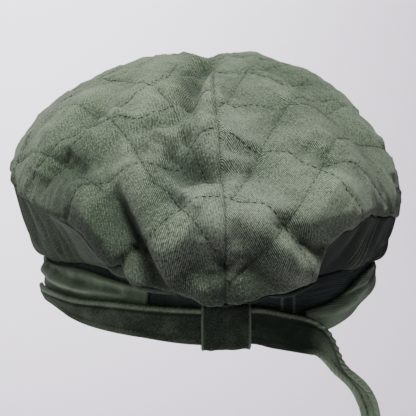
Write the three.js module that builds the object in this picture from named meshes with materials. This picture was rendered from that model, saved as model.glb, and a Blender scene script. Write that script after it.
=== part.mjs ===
// Soft army cap: two padded crown halves over a gathered side, a headband, a side cuff,
// and a flat tie that runs round the back through a wide loop and hangs free.
// Millimetres. +X is the wearer's right, +Y the forehead, +Z up.
// The origin is the centre of the head opening, level with the band's lowest edge.

import * as THREE from 'three';

// Driving sizes
const HEAD_HALF_WIDTH = 77.5;
const HEAD_HALF_DEPTH = 96;
const APEX_HEIGHT = 117;
const SEWN_GAP = 0.3;
const CROWN_WALL = 3;
const SIDE_WALL = 2;
const BAND_WALL = 2.4;
const CUFF_WALL = 2;
const TIE_WALL = 1.6;
const LOOP_WALL = 1.3;
const LOOP_WIDTH = 20.5;

// Share of a crown meridian between the apex and the widest line; the rest curls under to the edge.
const WIDEST_SHARE = 0.86;

// The gathered side is sewn in below the quilted edge, set back from the crown's face, and turns in
// over the headband's top edge. Both are lengths.
const SIDE_SET_BACK = 0.6;
const SIDE_TURN_IN = 1.2;

// Numbers of facets
const CROWN_ROWS = 19;
const SIDE_ROWS = 5;
const CUFF_ROWS = 6;
const TIE_ROWS = 2;
const TIE_STEPS = 72;
const LOOP_COLUMNS = 6;

// Directions of the centre seam, in degrees anticlockwise from the wearer's right, seen from above
const SEAM_FRONT = 90;
const SEAM_BACK = 270;

const table = (columns, rows) =>
  rows.map((row) => Object.fromEntries(columns.map((name, index) => [name, row[index]])));

// The cap's form at each direction round the head. reach and waist place the widest line, edge and
// edgeHeight the quilted edge, full squares the dome off, and bandTop and bandBottom are the headband's
// edges. fall is how far the gathered side drops straight down, and puff how far out it turns in.
const FORM = table(
  ['azimuth', 'reach', 'waist', 'edge', 'edgeHeight', 'full', 'bandBottom', 'bandTop', 'fall', 'puff'],
  [
    [0, 91, 47, 89.5, 37, 1.98, 6, 18, 10, 8],
    [30, 99, 54, 97, 44, 2.1, 7, 19.5, 11, 7],
    [60, 108, 62, 105, 51, 2.35, 8, 23, 14, 6],
    [90, 113, 67, 110, 54, 2.25, 8, 25, 16, 6],
    [120, 108, 70, 105, 59, 2.1, 8, 24, 18, 7],
    [150, 101, 68, 99, 61, 1.9, 7, 23, 20, 9],
    [180, 95.5, 64, 95, 60, 1.8, 5, 21, 27, 11],
    [210, 102, 61, 101, 57, 1.75, 4.6, 24, 22, 9],
    [230, 113, 57.5, 111, 54, 1.75, 2.2, 28, 17, 6],
    [240, 120.5, 53.5, 118, 48.5, 1.75, 1.8, 28, 14, 5],
    [250, 129, 46, 126, 37, 1.75, 1.6, 27.5, 9, 4.5],
    [260, 135, 41, 131, 29.5, 1.75, 0.4, 27, 5, 4.5],
    [270, 137, 39, 132, 26, 1.75, 0, 26, 4, 4.5],
    [280, 135, 40, 131, 28, 1.75, 0, 25.5, 4.5, 4.5],
    [286, 131.5, 45, 128, 36, 1.75, 0, 25, 7, 4.5],
    [291, 127.5, 53, 125, 48.5, 1.8, 0, 25, 11, 5],
    [298, 121, 57.5, 119, 54, 1.8, 0.4, 25, 13, 6],
    [306, 112.5, 56, 111, 50, 1.75, 3.4, 25, 14, 7],
    [318, 103, 54, 101.5, 47, 1.68, 6.5, 24, 14, 8],
    [340, 93.5, 48, 92, 40, 1.8, 7, 20, 11, 8],
  ],
);

// Folds and dents of the crown, drawn on its flat cloth: x1, y1 to x2, y2 is the fold's line with the
// apex at 0, 0 and the back at -y. A plus rise stands out and a minus rise sinks in.
const CROWN_FOLDS = table(
  ['x1', 'y1', 'x2', 'y2', 'width', 'rise'],
  [
    [-24, 18, -40, -8, 26, 1.5],
    [28, 28, 60, 6, 26, 2.2],
    [0, 40, 0, -30, 6, -2.5],
    [-6, -24, -13, -88, 9, -5.5],
    [0, -62, 1, -104, 9, 2.5],
    [-27, -60, -32, -94, 12, 2.5],
    [-33, -103, -29, -106, 10, -3],
    [-60, -99, -50, -107, 12, -4],
    [-48, -82, -62, -91, 10, 2.5],
    [-14, -125, -4, -128, 11, -3.5],
    [-20, -128, 14, -128, 10, -2.5],
    [-22, -152, 17, -150, 12, 6],
    [-16, -168, 14, -170, 10, -2],
    [-19, -184, -17, -178, 9, -3],
    [2, -178, 12, -178, 12, 1.5],
    [26, -144, 58, -133, 9, 2.5],
    [16, -143, 38, -158, 9, -4.5],
    [20, -156, 35, -170, 9, 3],
    [-6, -140, -20, -170, 10, 2.5],
    [6, -156, 20, -168, 9, -3],
    [28, -22, 42, -46, 10, -2.5],
    [52, -60, 70, -84, 14, -2.5],
    [62, -40, 92, -62, 12, 2.5],
    [-60, -52, -84, -72, 12, 2.5],
    [-44, -50, -60, -74, 9, -2.5],
    [52, -128, 62, -138, 9, 1.5],
    [-45, -174, -33, -178, 9, 9],
  ],
);

// The deep fold at the left of the back: the cloth drops away on the left of this line of the flat
// cloth and rises again over the recovery distance, so that the back bulge hangs over it.
const DEEP_FOLD = { x1: -56, y1: -94, x2: -17, y2: -182, depth: 15, drop: 9, recovery: 32, lip: 2.2 };
// The deep fold begins and is full at these shares of its line's length.
const DEEP_FOLD_FADE = { from: -0.15, full: 0.35 };
// Towards the crown's edge the hollow closes again by this share of its depth.
const DEEP_FOLD_CLOSES = { from: 0.74, to: 1.02, share: 0.85 };

// At the back the soft crown has slipped sideways, so the centre seam lies left of the middle.
const SEAM_DRIFT = { sideways: -3.3, startsAt: 25, fullAt: 80, width: 60 };

// Gathers: number round the whole cap and their height. The crown's grow towards its edge.
const EDGE_GATHERS = { count: 22, height: 0.8, growth: 6 };
const SIDE_GATHERS = { count: 30, height: 1.3 };

// Folds of the cuff, from one direction and height to another, standing out from its face.
const CUFF_FOLDS = table(
  ['azimuth1', 'height1', 'azimuth2', 'height2', 'width', 'rise'],
  [
    [198, 17, 226, 18.5, 3, 1.8],
    [205, 19, 243, 20.5, 2.6, 1.4],
    [196, 15.5, 230, 16, 2.4, 1],
    [300, 8, 320, 15, 3, 1.2],
  ],
);

// Where the cuff's folds pass under the tie they are pressed flat over this height.
const FLAT_UNDER_TIE = { from: 0.5, to: 3.5 };

// Edges of the cuff, from its square end at the right of the back, round the front, to the left.
const CUFF = table(
  ['azimuth', 'bottom', 'top'],
  [
    [-69, 3, 11.6],
    [-62, 1, 12.2],
    [-53, 3, 15],
    [-45, 6.6, 18.6],
    [-33, 7.4, 20],
    [0, 6.4, 16.4],
    [45, 7.8, 19.8],
    [90, 8.2, 23.4],
    [135, 7.6, 21.8],
    [180, 5.2, 19.4],
    [206, 4.9, 21.8],
    [228, 2.6, 25.6],
    [251, 1.9, 22.6],
  ],
);

// The tie: where its middle line runs round the head ellipse, how far out it lies, its height,
// its width and its turn about its own line. It lies flat as far as the loop and then hangs.
const TIE = table(
  ['azimuth', 'outward', 'height', 'wide', 'turn'],
  [
    [187, 6.2, 5.2, 2.4, 0],
    [192, 6, 5.4, 3.6, 0],
    [202, 5.9, 6.4, 5.6, 0],
    [214, 5.9, 7.8, 7.4, 0],
    [227, 5.9, 7.8, 10.6, 0],
    [241, 5.9, 9, 13.4, 0],
    [250, 5.9, 9.3, 14.2, 0],
    [258, 4.4, 8.6, 15.2, 0],
    [264, 3.6, 8.2, 15.6, 0],
    [277, 3.6, 8, 15.6, 0],
    [282.6, 4.6, 5.6, 16, -3],
    [285.7, 6.8, 4.5, 15.7, -9],
    [288.5, 8.6, 3.2, 15.3, -14],
    [290.9, 9.8, 1.7, 14.5, -17],
    [293, 10.4, -0.4, 13.3, -17],
    [294.9, 10.8, -4, 11.6, -17],
    [296.7, 11.2, -8.6, 9.3, -14],
    [298.4, 11.6, -13.1, 7.2, -1],
    [300.7, 12, -17.2, 6.3, 16],
    [303.7, 12.4, -21.6, 6.7, 29],
    [306.7, 13, -26.6, 7.7, 32],
    [309.1, 13.6, -32, 8.5, 29],
    [310.7, 14.4, -37.8, 8.7, 25],
    [311.7, 15.2, -46.4, 8.4, 23],
    [312.4, 16, -66, 8, 25],
  ],
);

// The back loop: inside it the tie lies flat. Heights of its sewn end and of its bend over the tie.
const LOOP = { sewnTo: 21.5, bendsAt: 17, tuckedIn: 0.4, below: 0.5 };
const TIE_AT_LOOP = TIE.find((row) => row.azimuth === 264);

// Where facets run close together: the photo's folds are at the back.
const MERIDIAN_STEPS = table(
  ['from', 'to', 'step'],
  [
    [0, 195, 7.5],
    [195, 240, 3.75],
    [240, 292.5, 2.5],
    [292.5, 345, 3.75],
    [345, 360, 7.5],
  ],
);
const ROW_CROWDING = 0.85;

// Short lengths over which a curve's heading is taken: a share of a meridian, and degrees of the tie
const MERIDIAN_NUDGE = 0.01;
const TIE_NUDGE = 0.25;

// Colours of the photo's cloth
const sage = { color: 0x77826f, roughness: 0.9, metalness: 0 };
const olive = { color: 0x4e5a4b, roughness: 0.92, metalness: 0 };

const radians = (degrees) => THREE.MathUtils.degToRad(degrees);
const mix = THREE.MathUtils.lerp;
const ease = THREE.MathUtils.smoothstep;

// Smooth value of a table column at a position between its rows.
function between(rows, key, column, position, period = 0) {
  const last = rows.length - 1;
  const row = (index) => {
    if (!period) {
      const held = rows[THREE.MathUtils.clamp(index, 0, last)];
      return { at: held[key], value: held[column] };
    }
    const turns = Math.floor(index / rows.length);
    const held = rows[index - turns * rows.length];
    return { at: held[key] + turns * period, value: held[column] };
  };
  const place = period ? THREE.MathUtils.euclideanModulo(position, period) : position;
  let index = 0;
  while (index < last && rows[index + 1][key] <= place) index += 1;
  const [a, b, c, d] = [index - 1, index, index + 1, index + 2].map(row);
  const gap = c.at - b.at;
  if (gap === 0) return b.value;
  const share = THREE.MathUtils.clamp((place - b.at) / gap, 0, 1);
  const startSlope = a.at === b.at ? 0 : (c.value - a.value) / (c.at - a.at);
  const endSlope = d.at === c.at ? 0 : (d.value - b.value) / (d.at - b.at);
  const square = share * share;
  const cube = square * share;
  return (
    (2 * cube - 3 * square + 1) * b.value +
    (cube - 2 * square + share) * gap * startSlope +
    (3 * square - 2 * cube) * c.value +
    (cube - square) * gap * endSlope
  );
}

const form = (column, azimuth) => between(FORM, 'azimuth', column, azimuth, 360);

function headRadius(azimuth) {
  const across = HEAD_HALF_DEPTH * Math.cos(radians(azimuth));
  const along = HEAD_HALF_WIDTH * Math.sin(radians(azimuth));
  return (HEAD_HALF_WIDTH * HEAD_HALF_DEPTH) / Math.hypot(across, along);
}

const aroundHead = (azimuth, radius, height) =>
  new THREE.Vector3(radius * Math.cos(radians(azimuth)), radius * Math.sin(radians(azimuth)), height);

// Height of a fold at a point of a flat surface: full along its line, fading over its width.
function foldRise(fold, x, y) {
  const dx = fold.x2 - fold.x1;
  const dy = fold.y2 - fold.y1;
  const reached = ((x - fold.x1) * dx + (y - fold.y1) * dy) / (dx * dx + dy * dy);
  const share = THREE.MathUtils.clamp(reached, 0, 1);
  const distance = Math.hypot(x - fold.x1 - share * dx, y - fold.y1 - share * dy);
  return fold.rise * Math.exp(-((distance / fold.width) ** 2));
}

function deepFoldRise(x, y) {
  const { x1, y1, x2, y2, depth, drop, recovery, lip } = DEEP_FOLD;
  const length = Math.hypot(x2 - x1, y2 - y1);
  const along = ((x - x1) * (x2 - x1) + (y - y1) * (y2 - y1)) / (length * length);
  const left = ((x - x1) * (y2 - y1) - (y - y1) * (x2 - x1)) / length;
  const strength = ease(along, DEEP_FOLD_FADE.from, DEEP_FOLD_FADE.full);
  const sunk = ease(left, 0, drop) * (1 - ease(left, drop, recovery));
  const lipWidth = 2 * lip;
  const raised = Math.exp(-(((left + lipWidth) / lipWidth) ** 2));
  const { from, to, share } = DEEP_FOLD_CLOSES;
  const hollow = depth * (1 - share * ease(along, from, to));
  return strength * (lip * raised - hollow * sunk);
}

// One meridian of the crown in its upright plane, from the apex (along = 0) to the edge (along = 1).
function crownProfile(azimuth, along) {
  const [reach, waist, edge, edgeHeight, full] =
    ['reach', 'waist', 'edge', 'edgeHeight', 'full'].map((column) => form(column, azimuth));
  const angle = (Math.min(along / WIDEST_SHARE, 1) * Math.PI) / 2;
  const under = Math.max((along - WIDEST_SHARE) / (1 - WIDEST_SHARE), 0);
  const radius = reach * Math.sin(angle) ** (2 / full) - (reach - edge) * under ** 2;
  const dome = (APEX_HEIGHT - waist) * Math.abs(Math.cos(angle)) ** (2 / full);
  const height = waist + dome - (waist - edgeHeight) * under;
  return new THREE.Vector2(radius, height);
}

// A meridian with its folds: outer and inner wall points, and the way it heads at its end.
function crownMeridian(azimuth) {
  const outer = [];
  const inner = [];
  let arc = 0;
  let heading = new THREE.Vector2(1, 0);
  let previous = crownProfile(azimuth, 0);
  for (let row = 0; row <= CROWN_ROWS; row += 1) {
    const along = (row / CROWN_ROWS) ** ROW_CROWDING;
    const base = crownProfile(azimuth, along);
    if (row > 0) {
      heading = base.clone().sub(crownProfile(azimuth, along - MERIDIAN_NUDGE)).normalize();
      arc += base.distanceTo(previous);
    }
    previous = base;
    const x = arc * Math.cos(radians(azimuth));
    const y = arc * Math.sin(radians(azimuth));
    const folds = CROWN_FOLDS.reduce((sum, fold) => sum + foldRise(fold, x, y), 0);
    const wave = Math.sin(EDGE_GATHERS.count * radians(azimuth));
    const gathers = EDGE_GATHERS.height * along ** EDGE_GATHERS.growth * wave;
    const outward = new THREE.Vector2(-heading.y, heading.x);
    const outerPoint = base.clone().addScaledVector(outward, folds + deepFoldRise(x, y) + gathers);
    outer.push(outerPoint);
    inner.push(outerPoint.clone().addScaledVector(outward, -CROWN_WALL));
  }
  return { azimuth, outer, inner, heading };
}

// The gathered side under one meridian: it falls from the quilted edge and turns in over the band.
function sideMeridian(meridian) {
  const { azimuth, heading } = meridian;
  const edge = meridian.outer[CROWN_ROWS].clone();
  edge.lerp(meridian.inner[CROWN_ROWS], SIDE_SET_BACK / CROWN_WALL);
  const start = edge.addScaledVector(heading, SEWN_GAP);
  const end = new THREE.Vector2(headRadius(azimuth) + SIDE_TURN_IN, form('bandTop', azimuth) + SEWN_GAP);
  const fall = start.clone().addScaledVector(heading, form('fall', azimuth));
  const turnIn = new THREE.Vector2(end.x + form('puff', azimuth), end.y + SEWN_GAP);
  const curve = new THREE.CubicBezierCurve(start, fall, turnIn, end);
  const outer = [];
  const inner = [];
  for (let row = 0; row <= SIDE_ROWS; row += 1) {
    const share = row / SIDE_ROWS;
    const along = curve.getTangent(share);
    const outward = new THREE.Vector2(-along.y, along.x);
    const wave = Math.sin(SIDE_GATHERS.count * radians(azimuth)) * Math.sin(Math.PI * share);
    const outerPoint = curve.getPoint(share).addScaledVector(outward, SIDE_GATHERS.height * wave);
    outer.push(outerPoint);
    inner.push(outerPoint.clone().addScaledVector(outward, -SIDE_WALL));
  }
  return { azimuth, outer, inner };
}

// Directions for the meridians: close together where the photo shows folds, wider at the plain front.
function meridianAzimuths(from, to) {
  const azimuths = [from];
  while (azimuths.at(-1) < to) {
    const here = azimuths.at(-1);
    const turned = THREE.MathUtils.euclideanModulo(here, 360);
    const { step } = MERIDIAN_STEPS.find((row) => turned >= row.from && turned < row.to);
    azimuths.push(Math.min(here + step, to));
  }
  return azimuths;
}

// The whole ring, with the two crown halves' own directions.
const ringAzimuths = () => [
  ...meridianAzimuths(SEAM_FRONT, SEAM_BACK),
  ...meridianAzimuths(SEAM_BACK, SEAM_FRONT + 360).slice(1, -1),
];

// Sideways slip of the crown's back, fading out to the sides and towards the apex.
function seamDrift(place) {
  const { sideways, startsAt, fullAt, width } = SEAM_DRIFT;
  return sideways * ease(-place.y, startsAt, fullAt) * Math.exp(-((place.x / width) ** 2));
}

// Turns a wall's upright-plane points into places round the head. Of the sideways slip each row
// takes the share that slipOf gives it.
const liftMeridian = (meridian, points, slipOf, shiftX = 0) =>
  points.map((point, row) => {
    const place = aroundHead(meridian.azimuth, point.x, point.y);
    place.x += shiftX + slipOf(row) * seamDrift(place);
    return place;
  });

// A closed wall between an outer and an inner net of points, each a list of columns.
// In a ring the last column joins the first; otherwise both ends are closed.
function wallGeometry(outer, inner, ring) {
  const columns = outer.length;
  const rows = outer[0].length;
  const points = [...outer.flat(), ...inner.flat()];
  const out = (column, row) => (column % columns) * rows + row;
  const back = (column, row) => columns * rows + out(column, row);
  const faces = [];
  const quad = (a, b, c, d) => faces.push([a, b, c], [a, c, d]);
  const end = rows - 1;
  const last = columns - 1;
  for (let column = 0; column < (ring ? columns : last); column += 1) {
    const next = column + 1;
    for (let row = 0; row < end; row += 1) {
      quad(out(column, row), out(column, row + 1), out(next, row + 1), out(next, row));
      quad(back(column, row), back(next, row), back(next, row + 1), back(column, row + 1));
    }
    quad(out(column, 0), out(next, 0), back(next, 0), back(column, 0));
    quad(out(column, end), back(column, end), back(next, end), out(next, end));
  }
  for (let row = 0; row < end && !ring; row += 1) {
    quad(out(0, row), back(0, row), back(0, row + 1), out(0, row + 1));
    quad(out(last, row), out(last, row + 1), back(last, row + 1), back(last, row));
  }
  return closedGeometry(points, faces);
}

// Merges points that coincide, drops the faces that this flattens, and makes the geometry.
function closedGeometry(points, faces) {
  const known = new Map();
  const merged = [];
  const renumbered = points.map((point) => {
    const name = point.toArray().map((value) => value.toFixed(4)).join(' ');
    if (!known.has(name)) {
      known.set(name, merged.length);
      merged.push(point);
    }
    return known.get(name);
  });
  const kept = faces
    .map((face) => face.map((corner) => renumbered[corner]))
    .filter(([a, b, c]) => a !== b && b !== c && c !== a);
  const geometry = new THREE.BufferGeometry().setFromPoints(merged);
  geometry.setIndex(kept.flat());
  geometry.computeVertexNormals();
  return geometry;
}

function piece(name, geometry, look) {
  const mesh = new THREE.Mesh(geometry, new THREE.MeshStandardMaterial(look));
  mesh.name = name;
  return mesh;
}

// Crown halves, meeting at the centre seam with the sewn gap between them
function crownHalf(name, from, to, shiftX) {
  const meridians = meridianAzimuths(from, to).map(crownMeridian);
  const outer = meridians.map((meridian) => liftMeridian(meridian, meridian.outer, () => 1, shiftX));
  const inner = meridians.map((meridian) => liftMeridian(meridian, meridian.inner, () => 1, shiftX));
  return piece(name, wallGeometry(outer, inner, false), sage);
}

function underCrown() {
  const meridians = ringAzimuths().map(crownMeridian).map(sideMeridian);
  const slipOf = (row) => 1 - row / SIDE_ROWS;
  const outer = meridians.map((meridian) => liftMeridian(meridian, meridian.outer, slipOf));
  const inner = meridians.map((meridian) => liftMeridian(meridian, meridian.inner, slipOf));
  return piece('under_crown', wallGeometry(outer, inner, true), olive);
}

function headband() {
  const wall = (outward) =>
    ringAzimuths().map((azimuth) => {
      const radius = headRadius(azimuth) + outward;
      return [
        aroundHead(azimuth, radius, form('bandTop', azimuth)),
        aroundHead(azimuth, radius, form('bandBottom', azimuth)),
      ];
    });
  return piece('headband', wallGeometry(wall(BAND_WALL), wall(0), true), olive);
}

// Height of the cuff's folds at a place on its face. Lengths along the cuff are taken round the head.
function cuffFolds(azimuth, height) {
  const radius = headRadius(azimuth);
  const turned = THREE.MathUtils.euclideanModulo(azimuth, 360);
  const folds = CUFF_FOLDS.reduce((sum, fold) => {
    const onCloth = {
      x1: radians(fold.azimuth1) * radius,
      y1: fold.height1,
      x2: radians(fold.azimuth2) * radius,
      y2: fold.height2,
      width: fold.width,
      rise: fold.rise,
    };
    return sum + foldRise(onCloth, radians(turned) * radius, height);
  }, 0);
  const top = tieTop(turned);
  return folds * ease(height, top + FLAT_UNDER_TIE.from, top + FLAT_UNDER_TIE.to);
}

function cuff() {
  const outer = [];
  const inner = [];
  for (const azimuth of meridianAzimuths(CUFF[0].azimuth, CUFF.at(-1).azimuth)) {
    const top = between(CUFF, 'azimuth', 'top', azimuth);
    const bottom = between(CUFF, 'azimuth', 'bottom', azimuth);
    const innerRadius = headRadius(azimuth) + BAND_WALL + SEWN_GAP;
    const outerRadius = innerRadius + CUFF_WALL;
    const heights = Array.from({ length: CUFF_ROWS + 1 }, (_, row) => mix(top, bottom, row / CUFF_ROWS));
    const face = (height) => aroundHead(azimuth, outerRadius + cuffFolds(azimuth, height), height);
    outer.push(heights.map(face));
    inner.push(heights.map((height) => aroundHead(azimuth, innerRadius, height)));
  }
  return piece('cuff', wallGeometry(outer, inner, false), olive);
}

// Height of the tie's upper edge where it lies on the cuff, at the left of the back only.
function tieTop(azimuth) {
  if (azimuth < TIE[0].azimuth || azimuth > SEAM_BACK) return 0;
  return between(TIE, 'azimuth', 'height', azimuth) + between(TIE, 'azimuth', 'wide', azimuth) / 2;
}

function tieMiddle(azimuth) {
  const radius = headRadius(azimuth) + between(TIE, 'azimuth', 'outward', azimuth);
  return aroundHead(azimuth, radius, between(TIE, 'azimuth', 'height', azimuth));
}

// Spreads the steps evenly over the tie's table, which has more rows where the tie bends.
function tieAzimuth(share) {
  const place = share * (TIE.length - 1);
  const index = Math.min(Math.floor(place), TIE.length - 2);
  return mix(TIE[index].azimuth, TIE[index + 1].azimuth, place - index);
}

// The tie's section is carried along its middle line: the width stands up and turns with the twist.
function tieStrap() {
  const outer = [];
  const inner = [];
  for (let step = 0; step <= TIE_STEPS; step += 1) {
    const azimuth = tieAzimuth(step / TIE_STEPS);
    const centre = tieMiddle(azimuth);
    const heading = tieMiddle(azimuth + TIE_NUDGE).sub(tieMiddle(azimuth - TIE_NUDGE)).normalize();
    const up = new THREE.Vector3(0, 0, 1);
    const width = up.addScaledVector(heading, -up.dot(heading)).normalize();
    width.applyAxisAngle(heading, radians(between(TIE, 'azimuth', 'turn', azimuth)));
    const face = heading.clone().cross(width);
    const half = between(TIE, 'azimuth', 'wide', azimuth) / 2;
    const offsets = Array.from({ length: TIE_ROWS + 1 }, (_, row) => mix(half, -half, row / TIE_ROWS));
    const edges = offsets.map((offset) => centre.clone().addScaledVector(width, offset));
    outer.push(edges.map((point) => point.clone().addScaledVector(face, TIE_WALL / 2)));
    inner.push(edges.map((point) => point.clone().addScaledVector(face, -TIE_WALL / 2)));
  }
  return piece('tie_strap', wallGeometry(outer, inner, false), olive);
}

// The loop: a strip sewn to the band above the tie, passing over it and tucked in below the band.
function backLoop() {
  const onBand = BAND_WALL + SEWN_GAP;
  const overTie = TIE_AT_LOOP.outward + TIE_WALL / 2 + SEWN_GAP;
  const path = [
    [onBand, LOOP.sewnTo],
    [onBand, LOOP.bendsAt],
    [overTie, LOOP.bendsAt - 1],
    [overTie, 0],
    [overTie - 1, -LOOP.below],
    [LOOP.tuckedIn, -LOOP.below],
  ];
  const halfAngle = THREE.MathUtils.radToDeg(LOOP_WIDTH / 2 / (HEAD_HALF_DEPTH + overTie));
  const outer = [];
  const inner = [];
  for (let column = 0; column <= LOOP_COLUMNS; column += 1) {
    const azimuth = SEAM_BACK + mix(-halfAngle, halfAngle, column / LOOP_COLUMNS);
    const flat = path.map(([outward, height]) => new THREE.Vector2(headRadius(azimuth) + outward, height));
    inner.push(flat.map((point) => aroundHead(azimuth, point.x, point.y)));
    outer.push(
      flat.map((point, index) => {
        const before = flat[Math.max(index - 1, 0)];
        const after = flat[Math.min(index + 1, flat.length - 1)];
        const heading = after.clone().sub(before).normalize();
        const moved = point.clone().addScaledVector(new THREE.Vector2(-heading.y, heading.x), LOOP_WALL);
        return aroundHead(azimuth, moved.x, moved.y);
      }),
    );
  }
  return piece('back_loop', wallGeometry(outer, inner, false), olive);
}

const cap = new THREE.Group();
cap.add(
  crownHalf('crown_left', SEAM_FRONT, SEAM_BACK, -SEWN_GAP / 2),
  crownHalf('crown_right', SEAM_BACK, SEAM_FRONT + 360, SEWN_GAP / 2),
  underCrown(),
  headband(),
  cuff(),
  tieStrap(),
  backLoop(),
);

export default cap;
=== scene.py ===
# %% [markdown]
# # A quilted army cap, seen from behind
#
# The cap is soft: two padded and quilted crown halves are gathered onto a plain side, the side is sewn
# to a headband, and a flat tie runs round the back, through a wide loop, and hangs free. Cloth that has
# been worn keeps a few large folds, many small puckers along its stitches, and a faded weave. This
# lesson writes the weave first, as a shader. Then it builds the large folds and the puckers as nets of
# points, one piece after the other.

# %% Load the measured solids
import math

import bmesh
import bpy
import numpy as np
from mathutils import Matrix, Vector


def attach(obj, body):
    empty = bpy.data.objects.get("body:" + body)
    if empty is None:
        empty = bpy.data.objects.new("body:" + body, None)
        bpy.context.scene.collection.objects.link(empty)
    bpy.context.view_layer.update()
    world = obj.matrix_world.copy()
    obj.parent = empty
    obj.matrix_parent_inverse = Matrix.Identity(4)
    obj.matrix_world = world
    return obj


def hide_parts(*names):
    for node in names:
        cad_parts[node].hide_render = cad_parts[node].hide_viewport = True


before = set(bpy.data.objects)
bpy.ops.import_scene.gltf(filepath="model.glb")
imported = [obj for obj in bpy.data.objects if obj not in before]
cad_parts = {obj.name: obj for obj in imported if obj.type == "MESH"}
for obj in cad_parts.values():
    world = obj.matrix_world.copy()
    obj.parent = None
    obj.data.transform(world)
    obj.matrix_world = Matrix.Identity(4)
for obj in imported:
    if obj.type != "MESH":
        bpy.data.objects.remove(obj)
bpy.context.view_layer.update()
MM = 0.001

# %% [markdown]
# ## Camera
#
# The photograph looks at the back of the cap from a little above and half a metre away. The lens is
# given by its focal length in pixels, and the cap's origin sits below and right of the picture's
# middle. The camera is therefore first aimed at the origin and then tilted up by that offset, which
# keeps its shift at zero.

# %% The camera
PICTURE = 416
SENSOR_WIDTH = 36
FOCAL_PIXELS = 980
ORIGIN_PIXEL = (209, 287)
CAMERA_DISTANCE = 0.5
CAMERA_TURN = -4
CAMERA_RISE = 14


def direction(turn, rise):
    """The way out from the cap towards a turn about its axis and a rise above the floor, in degrees."""
    a, e = math.radians(turn), math.radians(rise)
    return Vector((math.sin(a) * math.cos(e), -math.cos(a) * math.cos(e), math.sin(e)))


camera_data = bpy.data.cameras.new("camera")
camera_data.sensor_width = SENSOR_WIDTH
camera_data.lens = SENSOR_WIDTH * FOCAL_PIXELS / PICTURE
camera = bpy.data.objects.new("camera", camera_data)
bpy.context.scene.collection.objects.link(camera)
back = direction(CAMERA_TURN, CAMERA_RISE)
tilt = math.atan((ORIGIN_PIXEL[1] - PICTURE / 2) / FOCAL_PIXELS)
swing = math.atan((ORIGIN_PIXEL[0] - PICTURE / 2) / FOCAL_PIXELS)
aim = (-back).to_track_quat("-Z", "Y").to_matrix()
aim = aim @ Matrix.Rotation(tilt, 3, "X") @ Matrix.Rotation(swing, 3, "Y")
camera.matrix_world = Matrix.Translation(back * CAMERA_DISTANCE) @ aim.to_4x4()
bpy.context.scene.camera = camera
print("lens in mm:", round(camera_data.lens, 1))

# %% [markdown]
# ## Studio
#
# A pale floor that curves up into a pale wall gives a background without a horizon. The floor lies well
# below the cap, whose tie hangs free. One soft light hangs above the cap, on the camera's side of it, so
# the crown's top is light and its underside dark. A weak one fills in from the camera's left. A wide one
# hangs beyond the cap and is turned to the wall, which would be grey without it.

# %% Floor and wall in one sheet
FLOOR_HEIGHT = -0.5
WALL_DISTANCE = 1.8
SWEEP_RADIUS = 0.7
FLOOR_FRONT = -2.4
WALL_TOP = 2.2
STAGE_HALF_WIDTH = 3.2
SWEEP_STEPS = 24


def stage_profile():
    """Points of the floor's and the wall's side view: distance from the cap and height."""
    points = [(FLOOR_FRONT, FLOOR_HEIGHT)]
    for step in range(SWEEP_STEPS + 1):
        turn = math.pi / 2 * step / SWEEP_STEPS
        along = WALL_DISTANCE - SWEEP_RADIUS + SWEEP_RADIUS * math.sin(turn)
        points.append((along, FLOOR_HEIGHT + SWEEP_RADIUS * (1 - math.cos(turn))))
    return points + [(WALL_DISTANCE, WALL_TOP)]


profile = stage_profile()
corners = [(side * STAGE_HALF_WIDTH, y, z) for y, z in profile for side in (-1, 1)]
strips = [(2 * i, 2 * i + 1, 2 * i + 3, 2 * i + 2) for i in range(len(profile) - 1)]
stage_mesh = bpy.data.meshes.new("studio_floor")
stage_mesh.from_pydata(corners, [], strips)
stage_mesh.shade_smooth()
studio = bpy.data.objects.new("studio_floor", stage_mesh)
bpy.context.scene.collection.objects.link(studio)
print("stage strips:", len(strips))

# %% Lights
CAP_MIDDLE = (0, 0, 0.05)
LIGHTS = [
    # name, place, what it is turned to, size, power
    ("overhead", (-0.08, -0.44, 1.2), CAP_MIDDLE, 0.36, 20),
    ("fill", (-1.1, -1.1, 0.35), CAP_MIDDLE, 0.9, 1.6),
    ("wall_wash", (-0.4, 0.9, 0.95), (-0.4, 1.8, 0.8), 1.4, 76),
]
AIR_COLOUR = (0.86, 0.84, 0.9, 1)
AIR_STRENGTH = 0.045


def soft_light(name, place, target, size, power):
    """A square area light."""
    data = bpy.data.lights.new(name, "AREA")
    data.shape = "SQUARE"
    data.size = size
    data.energy = power
    light = bpy.data.objects.new(name, data)
    bpy.context.scene.collection.objects.link(light)
    light.location = place
    light.rotation_euler = (Vector(target) - Vector(place)).to_track_quat("-Z", "Y").to_euler()


for row in LIGHTS:
    soft_light(*row)
world = bpy.data.worlds.new("studio_air")
bpy.context.scene.world = world
world.use_nodes = True
air = world.node_tree.nodes["Background"]
air.inputs["Color"].default_value = AIR_COLOUR
air.inputs["Strength"].default_value = AIR_STRENGTH
print("lights:", [row[0] for row in LIGHTS])

# %% [markdown]
# ## Writing shader maths as Python
#
# A weave is a formula: ribs at an angle, crossed by fine threads. Written as nodes it is a long chain of
# Math nodes, and written as Python signs it stays readable. The small class below wraps one shader
# socket, and each sign adds the Math node that it stands for.

# %% A socket that understands Python's signs
def add_node(tree, kind, settings, inputs):
    """One node in a tree: its settings first, then the values or links of its sockets."""
    made = tree.nodes.new(kind)
    for name, value in settings.items():
        setattr(made, name, value)
    for name, value in inputs.items():
        if isinstance(value, bpy.types.NodeSocket):
            tree.links.new(value, made.inputs[name])
        else:
            made.inputs[name].default_value = value
    return made


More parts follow.
